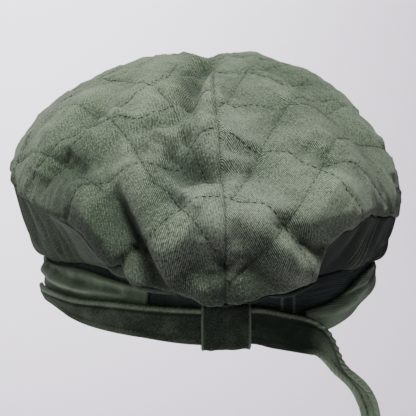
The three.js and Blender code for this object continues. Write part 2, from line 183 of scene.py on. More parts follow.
class Wire:
    """One output socket of a finish, with Python's signs for its maths."""

    def __init__(self, finish, socket):
        self.finish = finish
        self.socket = socket

    def maths(self, operation, *values):
        inputs = dict(enumerate(values))
        return self.finish.node("ShaderNodeMath", {"operation": operation}, inputs)

    def __add__(self, other):
        return self.maths("ADD", self, other)

    __radd__ = __add__

    def __sub__(self, other):
        return self.maths("SUBTRACT", self, other)

    def __rsub__(self, other):
        return self.maths("SUBTRACT", other, self)

    def __mul__(self, other):
        return self.maths("MULTIPLY", self, other)

    def __rtruediv__(self, other):
        return self.maths("DIVIDE", other, self)

    def sine(self):
        return self.maths("SINE", self)

    def clipped(self):
        return self.finish.node("ShaderNodeClamp", {}, {"Value": self})


class Finish:
    """A node material that is written one node at a time."""

    def __init__(self, name):
        self.material = bpy.data.materials.new(name)
        self.material.use_nodes = True
        self.tree = self.material.node_tree
        self.tree.nodes.clear()

    def node(self, kind, settings=None, inputs=None, output=0):
        """Adds one node and gives the wire of one of its outputs."""
        inputs = (inputs or {}).items()
        inputs = {name: value.socket if isinstance(value, Wire) else value for name, value in inputs}
        made = add_node(self.tree, kind, settings or {}, inputs)
        return Wire(self, made.outputs[output])

    def blend(self, share, first, second):
        """A colour between two colours."""
        settings = {"data_type": "RGBA"}
        return self.node("ShaderNodeMix", settings, {0: share, 6: first, 7: second}, 2)

    def tinted(self, share, colour, tint):
        """A colour multiplied by another over a share of the surface."""
        settings = {"data_type": "RGBA", "blend_type": "MULTIPLY"}
        return self.node("ShaderNodeMix", settings, {0: share, 6: colour, 7: tint}, 2)

    def noise(self, place, size, detail=2.0, roughness=0.5):
        """Soft random values about 0.5, with features of a size in metres."""
        inputs = {"Vector": place, "Scale": 1 / size, "Detail": detail, "Roughness": roughness}
        return self.node("ShaderNodeTexNoise", {}, inputs)

    def surface(self, inputs):
        """The finished material, with these values and wires on its one shader."""
        shader = self.node("ShaderNodeBsdfPrincipled", {}, inputs)
        add_node(self.tree, "ShaderNodeOutputMaterial", {}, {"Surface": shader.socket})
        return self.material


print("shader class ready")

# %% [markdown]
# ## Cotton twill
#
# Twill is woven so that its ribs climb at an angle, here about 0.64 mm from rib to rib. Washing fades
# the top of each rib and leaves the colour between them, and the same happens on a larger scale: ridges
# of folds and the edges of seams turn pale. The valleys keep their colour and are painted darker still,
# as painted shade, and some patches are painted paler or darker for the light and shade that fall on
# them. Each piece therefore carries its flat-cloth place as a UV map for the ribs, and a value from dark
# to pale for the wear and the painted light and shade. Colour, roughness and bump follow those two. Sun
# and washing have also taken some green out of the middle of the crown's back, so the crown turns greyer
# towards it.

# %% The cloth finish
RIB = 0.64 * MM
BROKEN_RIB, SLUB = 1.6 * MM, 4.5 * MM
GRAIN, CLOUD, BLOTCH, DUST = 0.8 * MM, 7 * MM, 24 * MM, 55 * MM
PALENESS = dict(even=0.44, weave=1.25, blotch=0.7, cloud=0.5, wear_and_painted_light=0.34)
GREYED = dict(y=-130 * MM, width=48 * MM, tint=(1.05, 0.99, 1.13, 1))
DUST_TINT = (0.93, 1.0, 0.97, 1)
SHEEN_TINT = (0.75, 0.82, 0.7, 1)
WEAVE_DEPTH = 0.22 * MM
COTTON = {
    # name: (pale colour, deep colour, rib angle in degrees, rib size, rib contrast, strength of wear and
    # painted light, speckle)
    "crown_left_twill": ((0.275, 0.34, 0.225), (0.042, 0.06, 0.037), 78, RIB, 0.6, 1.0, 2.0),
    "crown_right_twill": ((0.275, 0.34, 0.225), (0.042, 0.06, 0.037), -48, RIB, 0.9, 1.0, 2.0),
    # The side's colours are darker than the crown's, as painted shade under the crown's overhang.
    "side_twill": ((0.2, 0.26, 0.17), (0.018, 0.03, 0.019), 45, RIB, 0.35, 0.8, 1.1),
    "band_cotton": ((0.15, 0.195, 0.175), (0.03, 0.045, 0.04), 45, 0.6 * MM, 0.3, 1.0, 0.9),
    "cuff_twill": ((0.32, 0.41, 0.27), (0.05, 0.07, 0.045), 45, 0.6 * MM, 0.3, 1.0, 0.9),
    "tie_twill": ((0.32, 0.41, 0.26), (0.035, 0.052, 0.034), 45, 0.6 * MM, 0.35, 1.0, 0.9),
    # The loop's colours are darker than the tie's, as painted shade under the back bulge.
    "loop_cotton": ((0.26, 0.34, 0.22), (0.03, 0.045, 0.03), 45, 0.6 * MM, 0.25, 1.0, 0.8),
}


def cotton(name):
    """A cotton finish: twill ribs crossed by fine threads, faded on ribs and ridges, with painted light
    and shade.
    """
    pale, deep, angle, rib, contrast, amount_of_wear_and_painted_light, speckle = COTTON[name]
    finish = Finish(name)
    place = finish.node("ShaderNodeUVMap", {"uv_map": "flat_cloth"})
    across = finish.node("ShaderNodeSeparateXYZ", {}, {"Vector": place})
    along = Wire(finish, across.socket.node.outputs[1])
    turn = math.radians(angle + 90)
    slub = finish.noise(place, SLUB, 3.0) - 0.5
    step = across * (math.cos(turn) / rib) + along * (math.sin(turn) / rib) + slub * 0.9
    ribs = (step * math.tau).sine() * 0.5 + 0.5
    broken = finish.noise(place, BROKEN_RIB, 2.0, 0.6)
    weave = (ribs * (0.35 + broken * 1.1)).clipped()

    # Per-point value: paler for wear on ridges and for painted light, darker for painted shade in valleys
    # and under the crown.
    wear_and_painted_light = finish.node("ShaderNodeAttribute", {"attribute_name": "wear_and_painted_light"}, output=2)
    grain = finish.noise(place, GRAIN, 2.0, 0.7)
    blotch = finish.noise(place, BLOTCH, 4.0, 0.6)
    cloud = finish.noise(place, CLOUD, 3.0, 0.6)
    paleness = PALENESS["even"] + (weave - 0.45) * (PALENESS["weave"] * contrast) + (grain - 0.5) * speckle
    paleness = paleness + (blotch - 0.5) * PALENESS["blotch"] + (cloud - 0.5) * PALENESS["cloud"]
    paleness = paleness + wear_and_painted_light * (PALENESS["wear_and_painted_light"] * amount_of_wear_and_painted_light)
    colour = finish.blend(paleness.clipped(), (*deep, 1), (*pale, 1))
    bare = (paleness * 1.6 - 1.1).clipped()
    colour = finish.blend(bare, colour, (*[c * 1.25 + 0.03 for c in pale], 1))
    if name.startswith("crown"):
        x = across * (1 / GREYED["width"])
        y = (along - GREYED["y"]) * (1 / GREYED["width"])
        colour = finish.tinted(1 / (x * x + y * y + 1), colour, GREYED["tint"])
    dust = finish.noise(place, DUST, 2.0)
    colour = finish.tinted(dust, colour, DUST_TINT)

    height = weave * (0.85 * contrast) + grain * 0.45
    inputs = {"Height": height, "Distance": WEAVE_DEPTH, "Strength": 0.9}
    bump = finish.node("ShaderNodeBump", {}, inputs)
    rough = (0.95 - (weave * 0.08) + (blotch - 0.5) * 0.06).clipped()
    inputs = {
        "Base Color": colour,
        "Roughness": rough,
        "Normal": bump,
        "Sheen Weight": 0.08 * speckle,
        "Sheen Roughness": 0.5,
        "Sheen Tint": SHEEN_TINT,
        "Specular IOR Level": 0.25,
    }
    return finish.surface(inputs)


FABRICS = {name: cotton(name) for name in COTTON}
print("cotton finishes:", len(FABRICS))

# %% [markdown]
# Sewing thread is a tight twist. At this size it needs only a fine fuzz in its colour and bump, and a
# little less roughness than the cotton. The quilting's thread is darker than the cloth, and the worn
# rows beside the centre seam are paler. The studio floor gets a faint unevenness, so that it isn't one
# flat tone.

# %% Thread and floor finishes
THREAD_FUZZ, FUZZ_DEPTH = 0.35 * MM, 0.05 * MM
PAPER_CLOUD = 0.9
PAPER_SHADE, PAPER_TONE = (0.74, 0.69, 0.775, 1), (0.8, 0.75, 0.835, 1)


def sewing_thread(name, tone):
    """A thread with fine fuzz, on the object's own coordinates."""
    finish = Finish(name)
    place = finish.node("ShaderNodeTexCoord", {}, output=3)
    fuzz = finish.noise(place, THREAD_FUZZ)
    colour = finish.blend(fuzz, (*[c * 0.6 for c in tone], 1), (*tone, 1))
    bump = finish.node("ShaderNodeBump", {}, {"Height": fuzz, "Distance": FUZZ_DEPTH})
    inputs = {"Base Color": colour, "Roughness": 0.7, "Normal": bump}
    return finish.surface(inputs)


def studio_paper():
    """Pale matt paper with a faint cloudiness."""
    finish = Finish("studio_paper")
    place = finish.node("ShaderNodeTexCoord", {}, output=3)
    cloud = finish.noise(place, PAPER_CLOUD)
    colour = finish.blend(cloud, PAPER_SHADE, PAPER_TONE)
    inputs = {"Base Color": colour, "Roughness": 0.9}
    return finish.surface(inputs)


DARK_THREAD = sewing_thread("dark_thread", (0.03, 0.036, 0.028))
PALE_THREAD = sewing_thread("pale_thread", (0.4, 0.42, 0.33))
studio.data.materials.append(studio_paper())
print("threads:", DARK_THREAD.name, PALE_THREAD.name)

# %% [markdown]
# ## The cap's form
#
# The solids were drawn from tables: at each direction round the head opening they say how far out and
# how high the crown's widest line and its edge lie. The same tables are written here again, in
# millimetres, because the fine cloth has to lie where the solids are. Numpy works them out for a whole
# net of points at once.

# %% Tables of the form
HEAD_HALF_WIDTH = 77.5
HEAD_HALF_DEPTH = 96
APEX_HEIGHT = 117
SEWN_GAP = 0.3
CROWN_WALL = 3
SIDE_WALL = 2
BAND_WALL = 2.4
CUFF_WALL = 2
TIE_WALL = 1.6
LOOP_WALL = 1.3
LOOP_WIDTH = 20.5
WIDEST_SHARE = 0.86
SIDE_SET_BACK = 0.6
SIDE_TURN_IN = 1.2
CLOTH_GAP = 0.04


def table(columns, rows):
    """Columns of numbers by name."""
    return dict(zip(columns.split(), np.array(rows, float).T))


FORM = table(
    "azimuth reach waist edge edge_height full band_bottom band_top fall puff",
    [
        [0, 91, 47, 89.5, 37, 1.98, 6, 18, 10, 8],
        [30, 99, 54, 97, 44, 2.1, 7, 19.5, 11, 7],
        [60, 108, 62, 105, 51, 2.35, 8, 23, 14, 6],
        [90, 113, 67, 110, 54, 2.25, 8, 25, 16, 6],
        [120, 108, 70, 105, 59, 2.1, 8, 24, 18, 7],
        [150, 101, 68, 99, 61, 1.9, 7, 23, 20, 9],
        [180, 95.5, 64, 95, 60, 1.8, 5, 21, 27, 11],
        [210, 102, 61, 101, 57, 1.75, 4.6, 24, 22, 9],
        [230, 113, 57.5, 111, 54, 1.75, 2.2, 28, 17, 6],
        [240, 120.5, 53.5, 118, 48.5, 1.75, 1.8, 28, 14, 5],
        [250, 129, 46, 126, 37, 1.75, 1.6, 27.5, 9, 4.5],
        [260, 135, 41, 131, 29.5, 1.75, 0.4, 27, 5, 4.5],
        [270, 137, 39, 132, 26, 1.75, 0, 26, 4, 4.5],
        [280, 135, 40, 131, 28, 1.75, 0, 25.5, 4.5, 4.5],
        [286, 131.5, 45, 128, 36, 1.75, 0, 25, 7, 4.5],
        [291, 127.5, 53, 125, 48.5, 1.8, 0, 25, 11, 5],
        [298, 121, 57.5, 119, 54, 1.8, 0.4, 25, 13, 6],
        [306, 112.5, 56, 111, 50, 1.75, 3.4, 25, 14, 7],
        [318, 103, 54, 101.5, 47, 1.68, 6.5, 24, 14, 8],
        [340, 93.5, 48, 92, 40, 1.8, 7, 20, 11, 8],
    ],
)
DEEP_FOLD = dict(x1=-56, y1=-94, x2=-17, y2=-182, depth=10, drop=6, recovery=22, lip=2.2)
DEEP_FOLD_OPENS_OVER = 0.65
DEEP_FOLD_CLOSES = dict(starts_at=0.55, ends_at=0.95, share=0.55)
OVERHANG = dict(slide=4.5, middle=-3, width=6)
OVERHANG_GROWS, OVERHANG_ENDS = (0.25, 0.6), (0.8, 1)
SEAM_DRIFT = dict(sideways=-3.3, starts_at=25, full_at=80, width=60)
EDGE_GATHERS = dict(count=22, height=0.8, growth=6)
print("form rows:", len(FORM["azimuth"]))

# %% Curves through the tables
def between(rows, column, position, period=0.0, key="azimuth"):
    """Smooth value of a table's column at any position between its rows."""
    at, value = rows[key], rows[column]
    if period:
        at = np.concatenate([at - period, at, at + period])
        value = np.tile(value, 3)
        position = np.mod(position, period)
    else:
        at = np.concatenate([at[:1] - 1e-9, at, at[-1:] + 1e-9])
        value = np.concatenate([value[:1], value, value[-1:]])
    slope = np.zeros(len(at))
    slope[1:-1] = (value[2:] - value[:-2]) / (at[2:] - at[:-2])
    position = np.clip(position, at[1], at[-2])
    index = np.clip(np.searchsorted(at, position, side="right") - 1, 1, len(at) - 3)
    gap = at[index + 1] - at[index]
    share = (position - at[index]) / gap
    square, cube = share**2, share**3
    return (
        (2 * cube - 3 * square + 1) * value[index]
        + (cube - 2 * square + share) * gap * slope[index]
        + (3 * square - 2 * cube) * value[index + 1]
        + (cube - square) * gap * slope[index + 1]
    )


def form(column, azimuth):
    return between(FORM, column, azimuth, 360.0)


def ease(value, start, end):
    """0 before start, 1 after end, and smooth between them."""
    share = np.clip((value - start) / (end - start), 0, 1)
    return share * share * (3 - 2 * share)


def hump(distance, width):
    """1 at no distance, and smoothly almost 0 at twice the width."""
    return np.exp(-((distance / width) ** 2))


def unit(vectors):
    return vectors / np.linalg.norm(vectors, axis=-1, keepdims=True)


def spread(last, count):
    """Whole numbers from 0 to the last one, evenly spread."""
    return np.linspace(0, last, count).round().astype(int)


def head_radius(azimuth):
    across = HEAD_HALF_DEPTH * np.cos(np.radians(azimuth))
    along = HEAD_HALF_WIDTH * np.sin(np.radians(azimuth))
    return HEAD_HALF_WIDTH * HEAD_HALF_DEPTH / np.hypot(across, along)


def around_head(azimuth, radius, height):
    """Places from their direction, their distance from the cap's axis and their height."""
    turn = np.radians(azimuth)
    places = np.broadcast_arrays(radius * np.cos(turn), radius * np.sin(turn), height)
    return np.stack(places, -1)


def crown_profile(azimuth, along):
    """A meridian of the crown: distance from the axis and height, from the apex to the edge."""
    columns = ("reach", "waist", "edge", "edge_height", "full")
    reach, waist, edge, edge_height, full = (form(column, azimuth) for column in columns)
    angle = np.minimum(along / WIDEST_SHARE, 1) * math.pi / 2
    under = np.maximum((along - WIDEST_SHARE) / (1 - WIDEST_SHARE), 0)
    radius = reach * np.sin(angle) ** (2 / full) - (reach - edge) * under**2
    dome = (APEX_HEIGHT - waist) * np.abs(np.cos(angle)) ** (2 / full)
    height = waist + dome - (waist - edge_height) * under
    return np.stack([radius, height], -1)


def seam_drift(place):
    """Sideways slip of the crown's back."""
    slip = ease(-place[..., 1], SEAM_DRIFT["starts_at"], SEAM_DRIFT["full_at"])
    return SEAM_DRIFT["sideways"] * slip * hump(place[..., 0], SEAM_DRIFT["width"])


print("crown at the back, mm:", crown_profile(270.0, 0.86).round(1))

# %% [markdown]
# ## Folds, from large to small
#
# On the flat cloth each fold is a straight line with a width and a rise: the wide ones are the solids'
# own, and the narrow ones are creases that the photograph shows. Two rows that meet stop a little short
# of each other, or their ends would add up to a spike. The deep fold at the left is a step that the back
# bulge hangs over. It is less deep than in the solids, so that its shadow stays soft. What is left, the
# restless crumple of worn cotton, is smooth random noise at a few sizes, with its seed fixed so that
# each run gives the same cap.

# %% Fold tables and fold maths
CROWN_FOLDS = [
    # x1, y1, x2, y2, width, rise
    [-24, 18, -40, -8, 26, 1.5],
    [28, 28, 60, 6, 26, 2.2],
    [0, 40, 0, -30, 6, -2.5],
    [-4, -16, -5.7, -40, 5.5, -7],
    [-6.4, -48.5, -8.2, -67, 5, -8.5],
    [-9, -75, -9.8, -80, 4.5, -6],
    [-10.5, -87, -11, -90, 4.5, -3],
    [-1, -44, -3, -66, 3.5, 2.5],
    [-3.5, -71, -6, -84, 3, 3],
    [-6, -89, -5, -103, 4, 2],
    [-32, -96, -20, -95, 4, -4.5],
    [-27, -101, -20, -107, 3.5, 3],
    [-24, -131, -12, -143, 3.5, 2.5],
    [-12, -143, -2, -135, 3.5, 2],
    [-39, -118, -30, -124, 4, 2],
    [0, -62, 1, -104, 7, 2.5],
    [-27, -60, -32, -94, 12, 2.5],
    [-33, -106, -29, -104, 6, -4.5],
    [-15, -106, -20, -112, 5, -6],
    [-60, -99, -50, -107, 8, -5.5],
    [-48, -82, -62, -91, 7, 2.5],
    [-15, -121, -7, -126, 7, -6.5],
    [-28, -122, -19, -141, 3, -3],
    [-22, -129, -17, -139, 2.5, 1.5],
    [-17, -139, -8, -132, 3, 2.5],
    [3, -109, 12, -110, 3, 1.3],
    [5, -114, 13, -115, 3, -2.2],
    [4, -119, 11, -119, 3, 1.2],
    [3, -124, 10, -125, 3, -1.5],
    [39, -111, 46, -115, 6, -4],
    [28, -22, 42, -46, 10, -2.5],
    [-24, -153, 18, -151, 11, 6.5],
    [-12, -127, 12, -128, 8, -2],
    [-19, -184, -17, -178, 8, -3.5],
    [2, -178, 12, -178, 12, 1.5],
    [-16, -167, 20, -170, 11, -3.5],
    [44, -128, 34, -147, 8, 3.5],
    [-66, -116, -57, -134, 9, 3],
    [-54, -159, -43, -153, 3.5, -4.5],
    [-75, -95, -73, -91, 5, -3.5],
    [-65, -104, -67, -97, 5, -3],
    [5, -154, 7, -155, 3.5, -3],
    [-5, -161, 0, -165, 4, -2.5],
    [26, -144, 58, -133, 9, 2.5],
    [24, -149, 45, -154, 5.5, -5.5],
    [25, -160, 43, -164, 5.5, 3.5],
    [-6, -140, -20, -170, 10, 2.5],
    [-9, -154, -15, -164, 6, -4],
    [6, -156, 20, -168, 9, -3],
    [52, -60, 70, -84, 14, -2.5],
    [62, -40, 92, -62, 12, 2.5],
    [-60, -52, -84, -72, 12, 2.5],
    [-44, -50, -60, -74, 9, -2.5],
    [52, -128, 62, -138, 9, 1.5],
    [-45, -174, -34, -178, 9, 3.8],
]
NOISE_CELLS = 128


def from_line(x, y, dx, dy):
    """Distance of points from a line that runs from 0 to (dx, dy)."""
    share = np.clip((x * dx + y * dy) / (dx * dx + dy * dy), 0, 1)
    return np.hypot(x - share * dx, y - share * dy)


def fold_rise(fold, x, y):
    x1, y1, x2, y2, width, rise = fold
    return rise * hump(from_line(x - x1, y - y1, x2 - x1, y2 - y1), width)


def beside_deep_fold(x, y):
    """Share of the way along the deep fold, distance to its left, and its heading."""
    x1, y1 = DEEP_FOLD["x1"], DEEP_FOLD["y1"]
    dx, dy = DEEP_FOLD["x2"] - x1, DEEP_FOLD["y2"] - y1
    length = math.hypot(dx, dy)
    along = ((x - x1) * dx + (y - y1) * dy) / length**2
    left = ((x - x1) * dy - (y - y1) * dx) / length
    return along, left, (dx / length, dy / length)


def deep_fold_rise(x, y):
    along, left = beside_deep_fold(x, y)[:2]
    drop, lip = DEEP_FOLD["drop"], DEEP_FOLD["lip"]
    sunk = ease(left, 0, drop) * (1 - ease(left, drop, DEEP_FOLD["recovery"]))
    raised = hump(left + 2 * lip, 2 * lip)
    closing = ease(along, DEEP_FOLD_CLOSES["starts_at"], DEEP_FOLD_CLOSES["ends_at"])
    depth = DEEP_FOLD["depth"] * (1 - DEEP_FOLD_CLOSES["share"] * closing)
    return ease(along, 0, DEEP_FOLD_OPENS_OVER) * (lip * raised - depth * sunk)


def deep_fold_slide(x, y):
    """How far the cloth beside the deep fold slides over it, as a step on the flat cloth."""
    along, left, heading = beside_deep_fold(x, y)
    slide = OVERHANG["slide"] * hump(left - OVERHANG["middle"], OVERHANG["width"])
    slide = slide * ease(along, *OVERHANG_GROWS) * (1 - ease(along, *OVERHANG_ENDS))
    return slide * heading[1], -slide * heading[0]


def cloth_noise(x, y, size, seed):
    """A smooth random field from -1 to 1 with features of about that size in mm."""
    cells = np.random.default_rng(seed).uniform(-1, 1, (NOISE_CELLS, NOISE_CELLS))
    u, v = np.mod(x / size, NOISE_CELLS), np.mod(y / size, NOISE_CELLS)
    i, j = u.astype(int), v.astype(int)
    s, t = u - i, v - j
    s, t = s * s * (3 - 2 * s), t * t * (3 - 2 * t)
    i, j = i % NOISE_CELLS, j % NOISE_CELLS
    right, up = (i + 1) % NOISE_CELLS, (j + 1) % NOISE_CELLS
    near = cells[i, j] * (1 - s) + cells[right, j] * s
    far = cells[i, up] * (1 - s) + cells[right, up] * s
    return near * (1 - t) + far * t


print("fold rows:", len(CROWN_FOLDS))

# %% [markdown]
# ## Quilting
#
# The crown is two layers of twill with wadding between them, held by rows of stitches. Each row pulls
# the cloth down into a narrow valley, lets it swell on both sides, and gathers it into short puckers
# that run out at right angles. The rows are drawn as lines on the flat cloth: a family that leaves the
# centre seam outwards and back, and one that leaves it outwards and forward, so they cross in a lattice.
# The net of points then only needs to know how far each point is from its nearest row, and how far along
# that row.

# %% Rows of stitches on the flat cloth
QUILTING_RIGHT = [
    [(0, -47), (15, -48), (28, -53), (45, -66), (58, -82)],
    [(0, -86), (7, -87), (15, -82), (35, -80), (54, -58), (73, -20), (84, 4), (94, 30)],
    [(0, -108), (5, -109), (17, -114), (29, -112), (41, -122), (50, -130), (61, -133), (72, -142)],
    [(0, -140), (6, -142), (16, -142), (25, -148), (38, -160), (46, -172)],
    [(44, -116), (58, -110), (72, -104), (88, -98), (104, -90)],
    [(0, -91), (5, -85), (10, -66), (15, -46), (24, -22), (40, 8), (58, 40), (74, 68), (86, 92)],
    [(0, -140), (4, -140), (9, -131), (15, -119), (21, -104), (26, -91), (33, -78), (48, -50), (70, -26)],
    [(2, -173), (8, -168), (18, -157), (23, -151), (32, -138), (38, -127)]
    + [(44, -116), (49, -101), (62, -80), (84, -56), (104, -34)],
    [(0, -8), (20, 4), (44, 16), (70, 26), (98, 34), (120, 40)],
    [(0, 28), (24, 44), (50, 58), (82, 72), (106, 82)],
    [(0, 66), (22, 80), (48, 94), (74, 104), (90, 110)],
    [(0, 104), (20, 116), (46, 128), (66, 134)],
    [(0, -8), (12, 20), (26, 50), (38, 82), (46, 112), (52, 138)],
    [(0, 66), (8, 92), (14, 118), (18, 146)],
    [(15, -46), (40, -32), (66, -12), (92, 8), (118, 22)],
    [(30, -4), (54, -22), (84, -44), (108, -62)],
]
QUILTING_LEFT = [
    [(0, -18), (-17, -32), (-23, -54), (-30, -64), (-37, -71), (-46, -74), (-66, -78), (-90, -84)],
    [(0, -78), (-4, -77), (-8, -72), (-13, -80), (-24, -88)]
    + [(-35, -91), (-42, -84), (-57, -83), (-84, -96)],
    [(0, -105), (-9, -106), (-15, -115), (-23, -119), (-33, -117)]
    + [(-46, -119), (-62, -115), (-74, -122), (-92, -130)],
    [(0, -140), (-7, -141), (-14, -143), (-21, -145), (-26, -150), (-36, -154)],
    [(0, -132), (-5, -126), (-10, -115), (-13, -107), (-19, -81), (-27, -65), (-40, -40), (-58, -12)],
    [(0, -162), (-5, -159), (-11, -152), (-17, -145), (-23, -133), (-29, -127)]
    + [(-33, -118), (-37, -104), (-42, -93), (-50, -76), (-66, -50), (-86, -24)],
    [(-54, -120), (-60, -112), (-66, -104), (-72, -92), (-88, -68), (-104, -46)],
    [(0, -18), (-14, 12), (-28, 44), (-40, 78), (-50, 112), (-56, 140)],
    [(0, 20), (-26, 8), (-54, -10), (-84, -30), (-112, -48)],
    [(0, 56), (-26, 46), (-56, 32), (-90, 14), (-120, 0)],
    [(0, 92), (-30, 80), (-62, 66), (-94, 48), (-118, 36)],
    [(0, 128), (-32, 116), (-66, 100), (-98, 84)],
    [(0, 56), (-12, 84), (-22, 112), (-30, 144)],
    [(-40, -40), (-62, -4), (-84, 34), (-98, 66)],
    [(-27, -65), (-12, -40), (-4, -28)],
]
WORN_ROWS_LEFT = [[(-5, -60), (-5, -66), (-4, -90), (-4, -112)]]
WORN_ROWS_RIGHT = [[(7, -112), (7, -142), (7, -174)]]
ROW_APART = 97.0
QUILT_WIDTHS = dict(valley=1.3, swell=7.5, pucker_from=1.4, pucker_to=6.5)
QUILT_HEIGHTS = dict(swell=0.8, valley=0.5, settled=0.45, pucker=0.95)
print("quilting rows:", len(QUILTING_RIGHT) + len(QUILTING_LEFT))


def nearest_row(rows, x, y):
    """For each point: distance to its nearest row of stitches, place along that row, and its side."""
    distance = np.full(x.shape, 1e3)
    along = np.zeros(x.shape)
    side = np.zeros(x.shape)
    for number, row in enumerate(rows):
        run = ROW_APART * number
        for (x1, y1), (x2, y2) in zip(row[:-1], row[1:]):
            dx, dy = x2 - x1, y2 - y1
            length = math.hypot(dx, dy)
            share = np.clip(((x - x1) * dx + (y - y1) * dy) / length**2, 0, 1)
            gap = np.hypot(x - x1 - share * dx, y - y1 - share * dy)
            closer = gap < distance
            distance = np.where(closer, gap, distance)
            along = np.where(closer, run + share * length, along)
            side = np.where(closer, np.sign((x - x1) * dy - (y - y1) * dx), side)
            run += length
    return distance, along, side


def quilting_rise(rows, x, y):
    """Height that the quilting gives to the cloth: valley, swell and puckers. Also the valley alone."""
    distance, along, side = nearest_row(rows, x, y)
    widths, heights = QUILT_WIDTHS, QUILT_HEIGHTS
    valley = hump(distance, widths["valley"])
    swell = 1 - hump(distance, widths["swell"])
    reach = np.exp(-distance / widths["pucker_to"]) * (1 - hump(distance, widths["pucker_from"]))
    pucker = cloth_noise(along, side * 40, 2.9, 11) + 0.6 * cloth_noise(along, side * 40, 1.7, 12)
    rise = heights["swell"] * swell - heights["valley"] * valley - heights["settled"]
    return rise + heights["pucker"] * reach * pucker, valley


# %% [markdown]
# ## From nets of points to closed cloth
#
# Every piece of the cap is a wall: an outer face and an inner face, joined round their edges. One
# function makes them all. The two faces share their columns, but the hidden inner face may have fewer
# rows, which halves the number of faces. A second function rolls an edge inwards, because folded and
# sewn cloth never ends in a sharp corner.

# %% Closed walls from two nets
MERGED_WITHIN = 0.002 * MM
ROLL = dict(seam=1.0, rim=2.4, band=0.8, cuff=1.2, tie=0.8, loop=0.6)
ROLL_FULLNESS = 0.8


def rolled(outer, inner, roll, borders):
    """The outer net with its borders rolled towards the inner one over a distance in mm."""
    result = outer.copy()
    through = unit(inner[:, spread(inner.shape[1] - 1, outer.shape[1])] - outer)
    for border in borders:
        axis = 0 if border in ("first", "last") else 1
        steps = np.linalg.norm(np.diff(outer, axis=axis), axis=-1)
        zero = np.zeros_like(np.take(steps, [0], axis=axis))
        run = np.concatenate([zero, np.cumsum(steps, axis=axis)], axis=axis)
        if border in ("last", "bottom"):
            run = np.take(run, [-1], axis=axis) - run
        share = np.clip(1 - run / roll, 0, 1)
        result += through * (roll * (1 - np.sqrt(1 - share**2)))[..., None] * ROLL_FULLNESS
    return result


def cloth_piece(name, outer, inner, ring, flat, wear_and_painted_light, fabric):
    """A closed cloth wall from two nets (column, row, place), with its flat-cloth UV and its wear and
    painted light.
    """
    columns, rows = outer.shape[:2]
    inner_rows = inner.shape[1]
    places = np.concatenate([outer.reshape(-1, 3), inner.reshape(-1, 3)]) * MM
    pick = spread(rows - 1, inner_rows)
    uv = np.concatenate([flat.reshape(-1, 2), flat[:, pick].reshape(-1, 2)]) * MM
    wear_and_painted_light_values = np.concatenate([wear_and_painted_light.ravel(), wear_and_painted_light[:, pick].ravel()])
    base = columns * rows

    def out(column, row):
        return (column % columns) * rows + row

    def back(column, row):
        return base + (column % columns) * inner_rows + row

    faces = []
    for column in range(columns if ring else columns - 1):
        n = column + 1
        faces += [
            (out(column, r), out(column, r + 1), out(n, r + 1), out(n, r)) for r in range(rows - 1)
        ]
        faces += [
            (back(column, r), back(n, r), back(n, r + 1), back(column, r + 1))
            for r in range(inner_rows - 1)
        ]
        faces.append((out(column, 0), out(n, 0), back(n, 0), back(column, 0)))
        e, f = rows - 1, inner_rows - 1
        faces.append((out(column, e), back(column, f), back(n, f), out(n, e)))
    if not ring:
        for column, order in ((0, 1), (columns - 1, -1)):
            inside = 0
            for row in range(rows - 1):
                below = out(column, row + 1)
                faces.append((out(column, row), back(column, inside), below)[::order])
                while inside < inner_rows - 1 and pick[inside + 1] <= row + 1:
                    faces.append((back(column, inside), back(column, inside + 1), below)[::order])
                    inside += 1
    mesh = bpy.data.meshes.new(name)
    mesh.from_pydata(places.tolist(), [], faces)
    layer = mesh.uv_layers.new(name="flat_cloth")
    corners = np.zeros(len(mesh.loops), np.int32)
    mesh.loops.foreach_get("vertex_index", corners)
    layer.data.foreach_set("uv", uv[corners].astype(np.float32).ravel())
    mesh.attributes.new("wear_and_painted_light", "FLOAT", "POINT").data.foreach_set("value", wear_and_painted_light_values.astype(np.float32))
    work = bmesh.new()
    work.from_mesh(mesh)
    bmesh.ops.remove_doubles(work, verts=work.verts, dist=MERGED_WITHIN)
    bmesh.ops.dissolve_degenerate(work, edges=work.edges, dist=MERGED_WITHIN / 4)
    bmesh.ops.recalc_face_normals(work, faces=work.faces)
    open_edges = sum(1 for edge in work.edges if not edge.is_manifold)
    work.to_mesh(mesh)
    work.free()
    mesh.shade_smooth()
    made = bpy.data.objects.new(name, mesh)
    bpy.context.scene.collection.objects.link(made)
    mesh.materials.append(FABRICS[fabric])
    print(name, "faces", len(mesh.polygons), "open edges", open_edges)
    return made


def net_normals(places):
    """Outward normals of an outer net of places."""
    down = np.gradient(places, axis=1)
    across = np.gradient(places, axis=0)
    normal = np.cross(down, across)
    length = np.linalg.norm(normal, axis=-1, keepdims=True)
    return normal / np.maximum(length, 1e-9)


print("rolled edges:", list(ROLL))

# %% [markdown]
# ## Crown halves
#
# A crown half could be sculpted, but a net that follows the tables has one great advantage: every point
# knows its place on the flat cloth, so quilting, folds, weave and stitches all agree. The net is fine at
# the back, where the photograph looks, and a little coarser at the front.

# %% The crown's net
CROWN_ROWS = 140
LINING_ROWS = 28
ROW_CROWDING = 0.92
CROWN_STEPS = [(0, 190, 0.9), (190, 350, 0.5), (350, 360, 0.9)]
SOFT_CRUMPLE = [
    # size, seed, height
    (24, 3, 1),
    (12, 4, 0.8),
    (5, 6, 0.3),
]
SHARP_CRUMPLE = [
    # size, seed, height, lean
    (15, 5, 1.5, 0.5),
    (8, 8, 0.7, -0.6),
]


def fine_azimuths(start, end, steps):
    """Directions from start to end, with a step that depends on where they are."""
    azimuths = [start]
    while azimuths[-1] < end - 1e-6:
        turned = azimuths[-1] % 360
        step = next(size for low, high, size in steps if low <= turned < high)
        azimuths.append(min(azimuths[-1] + step, end))
    return np.array(azimuths)


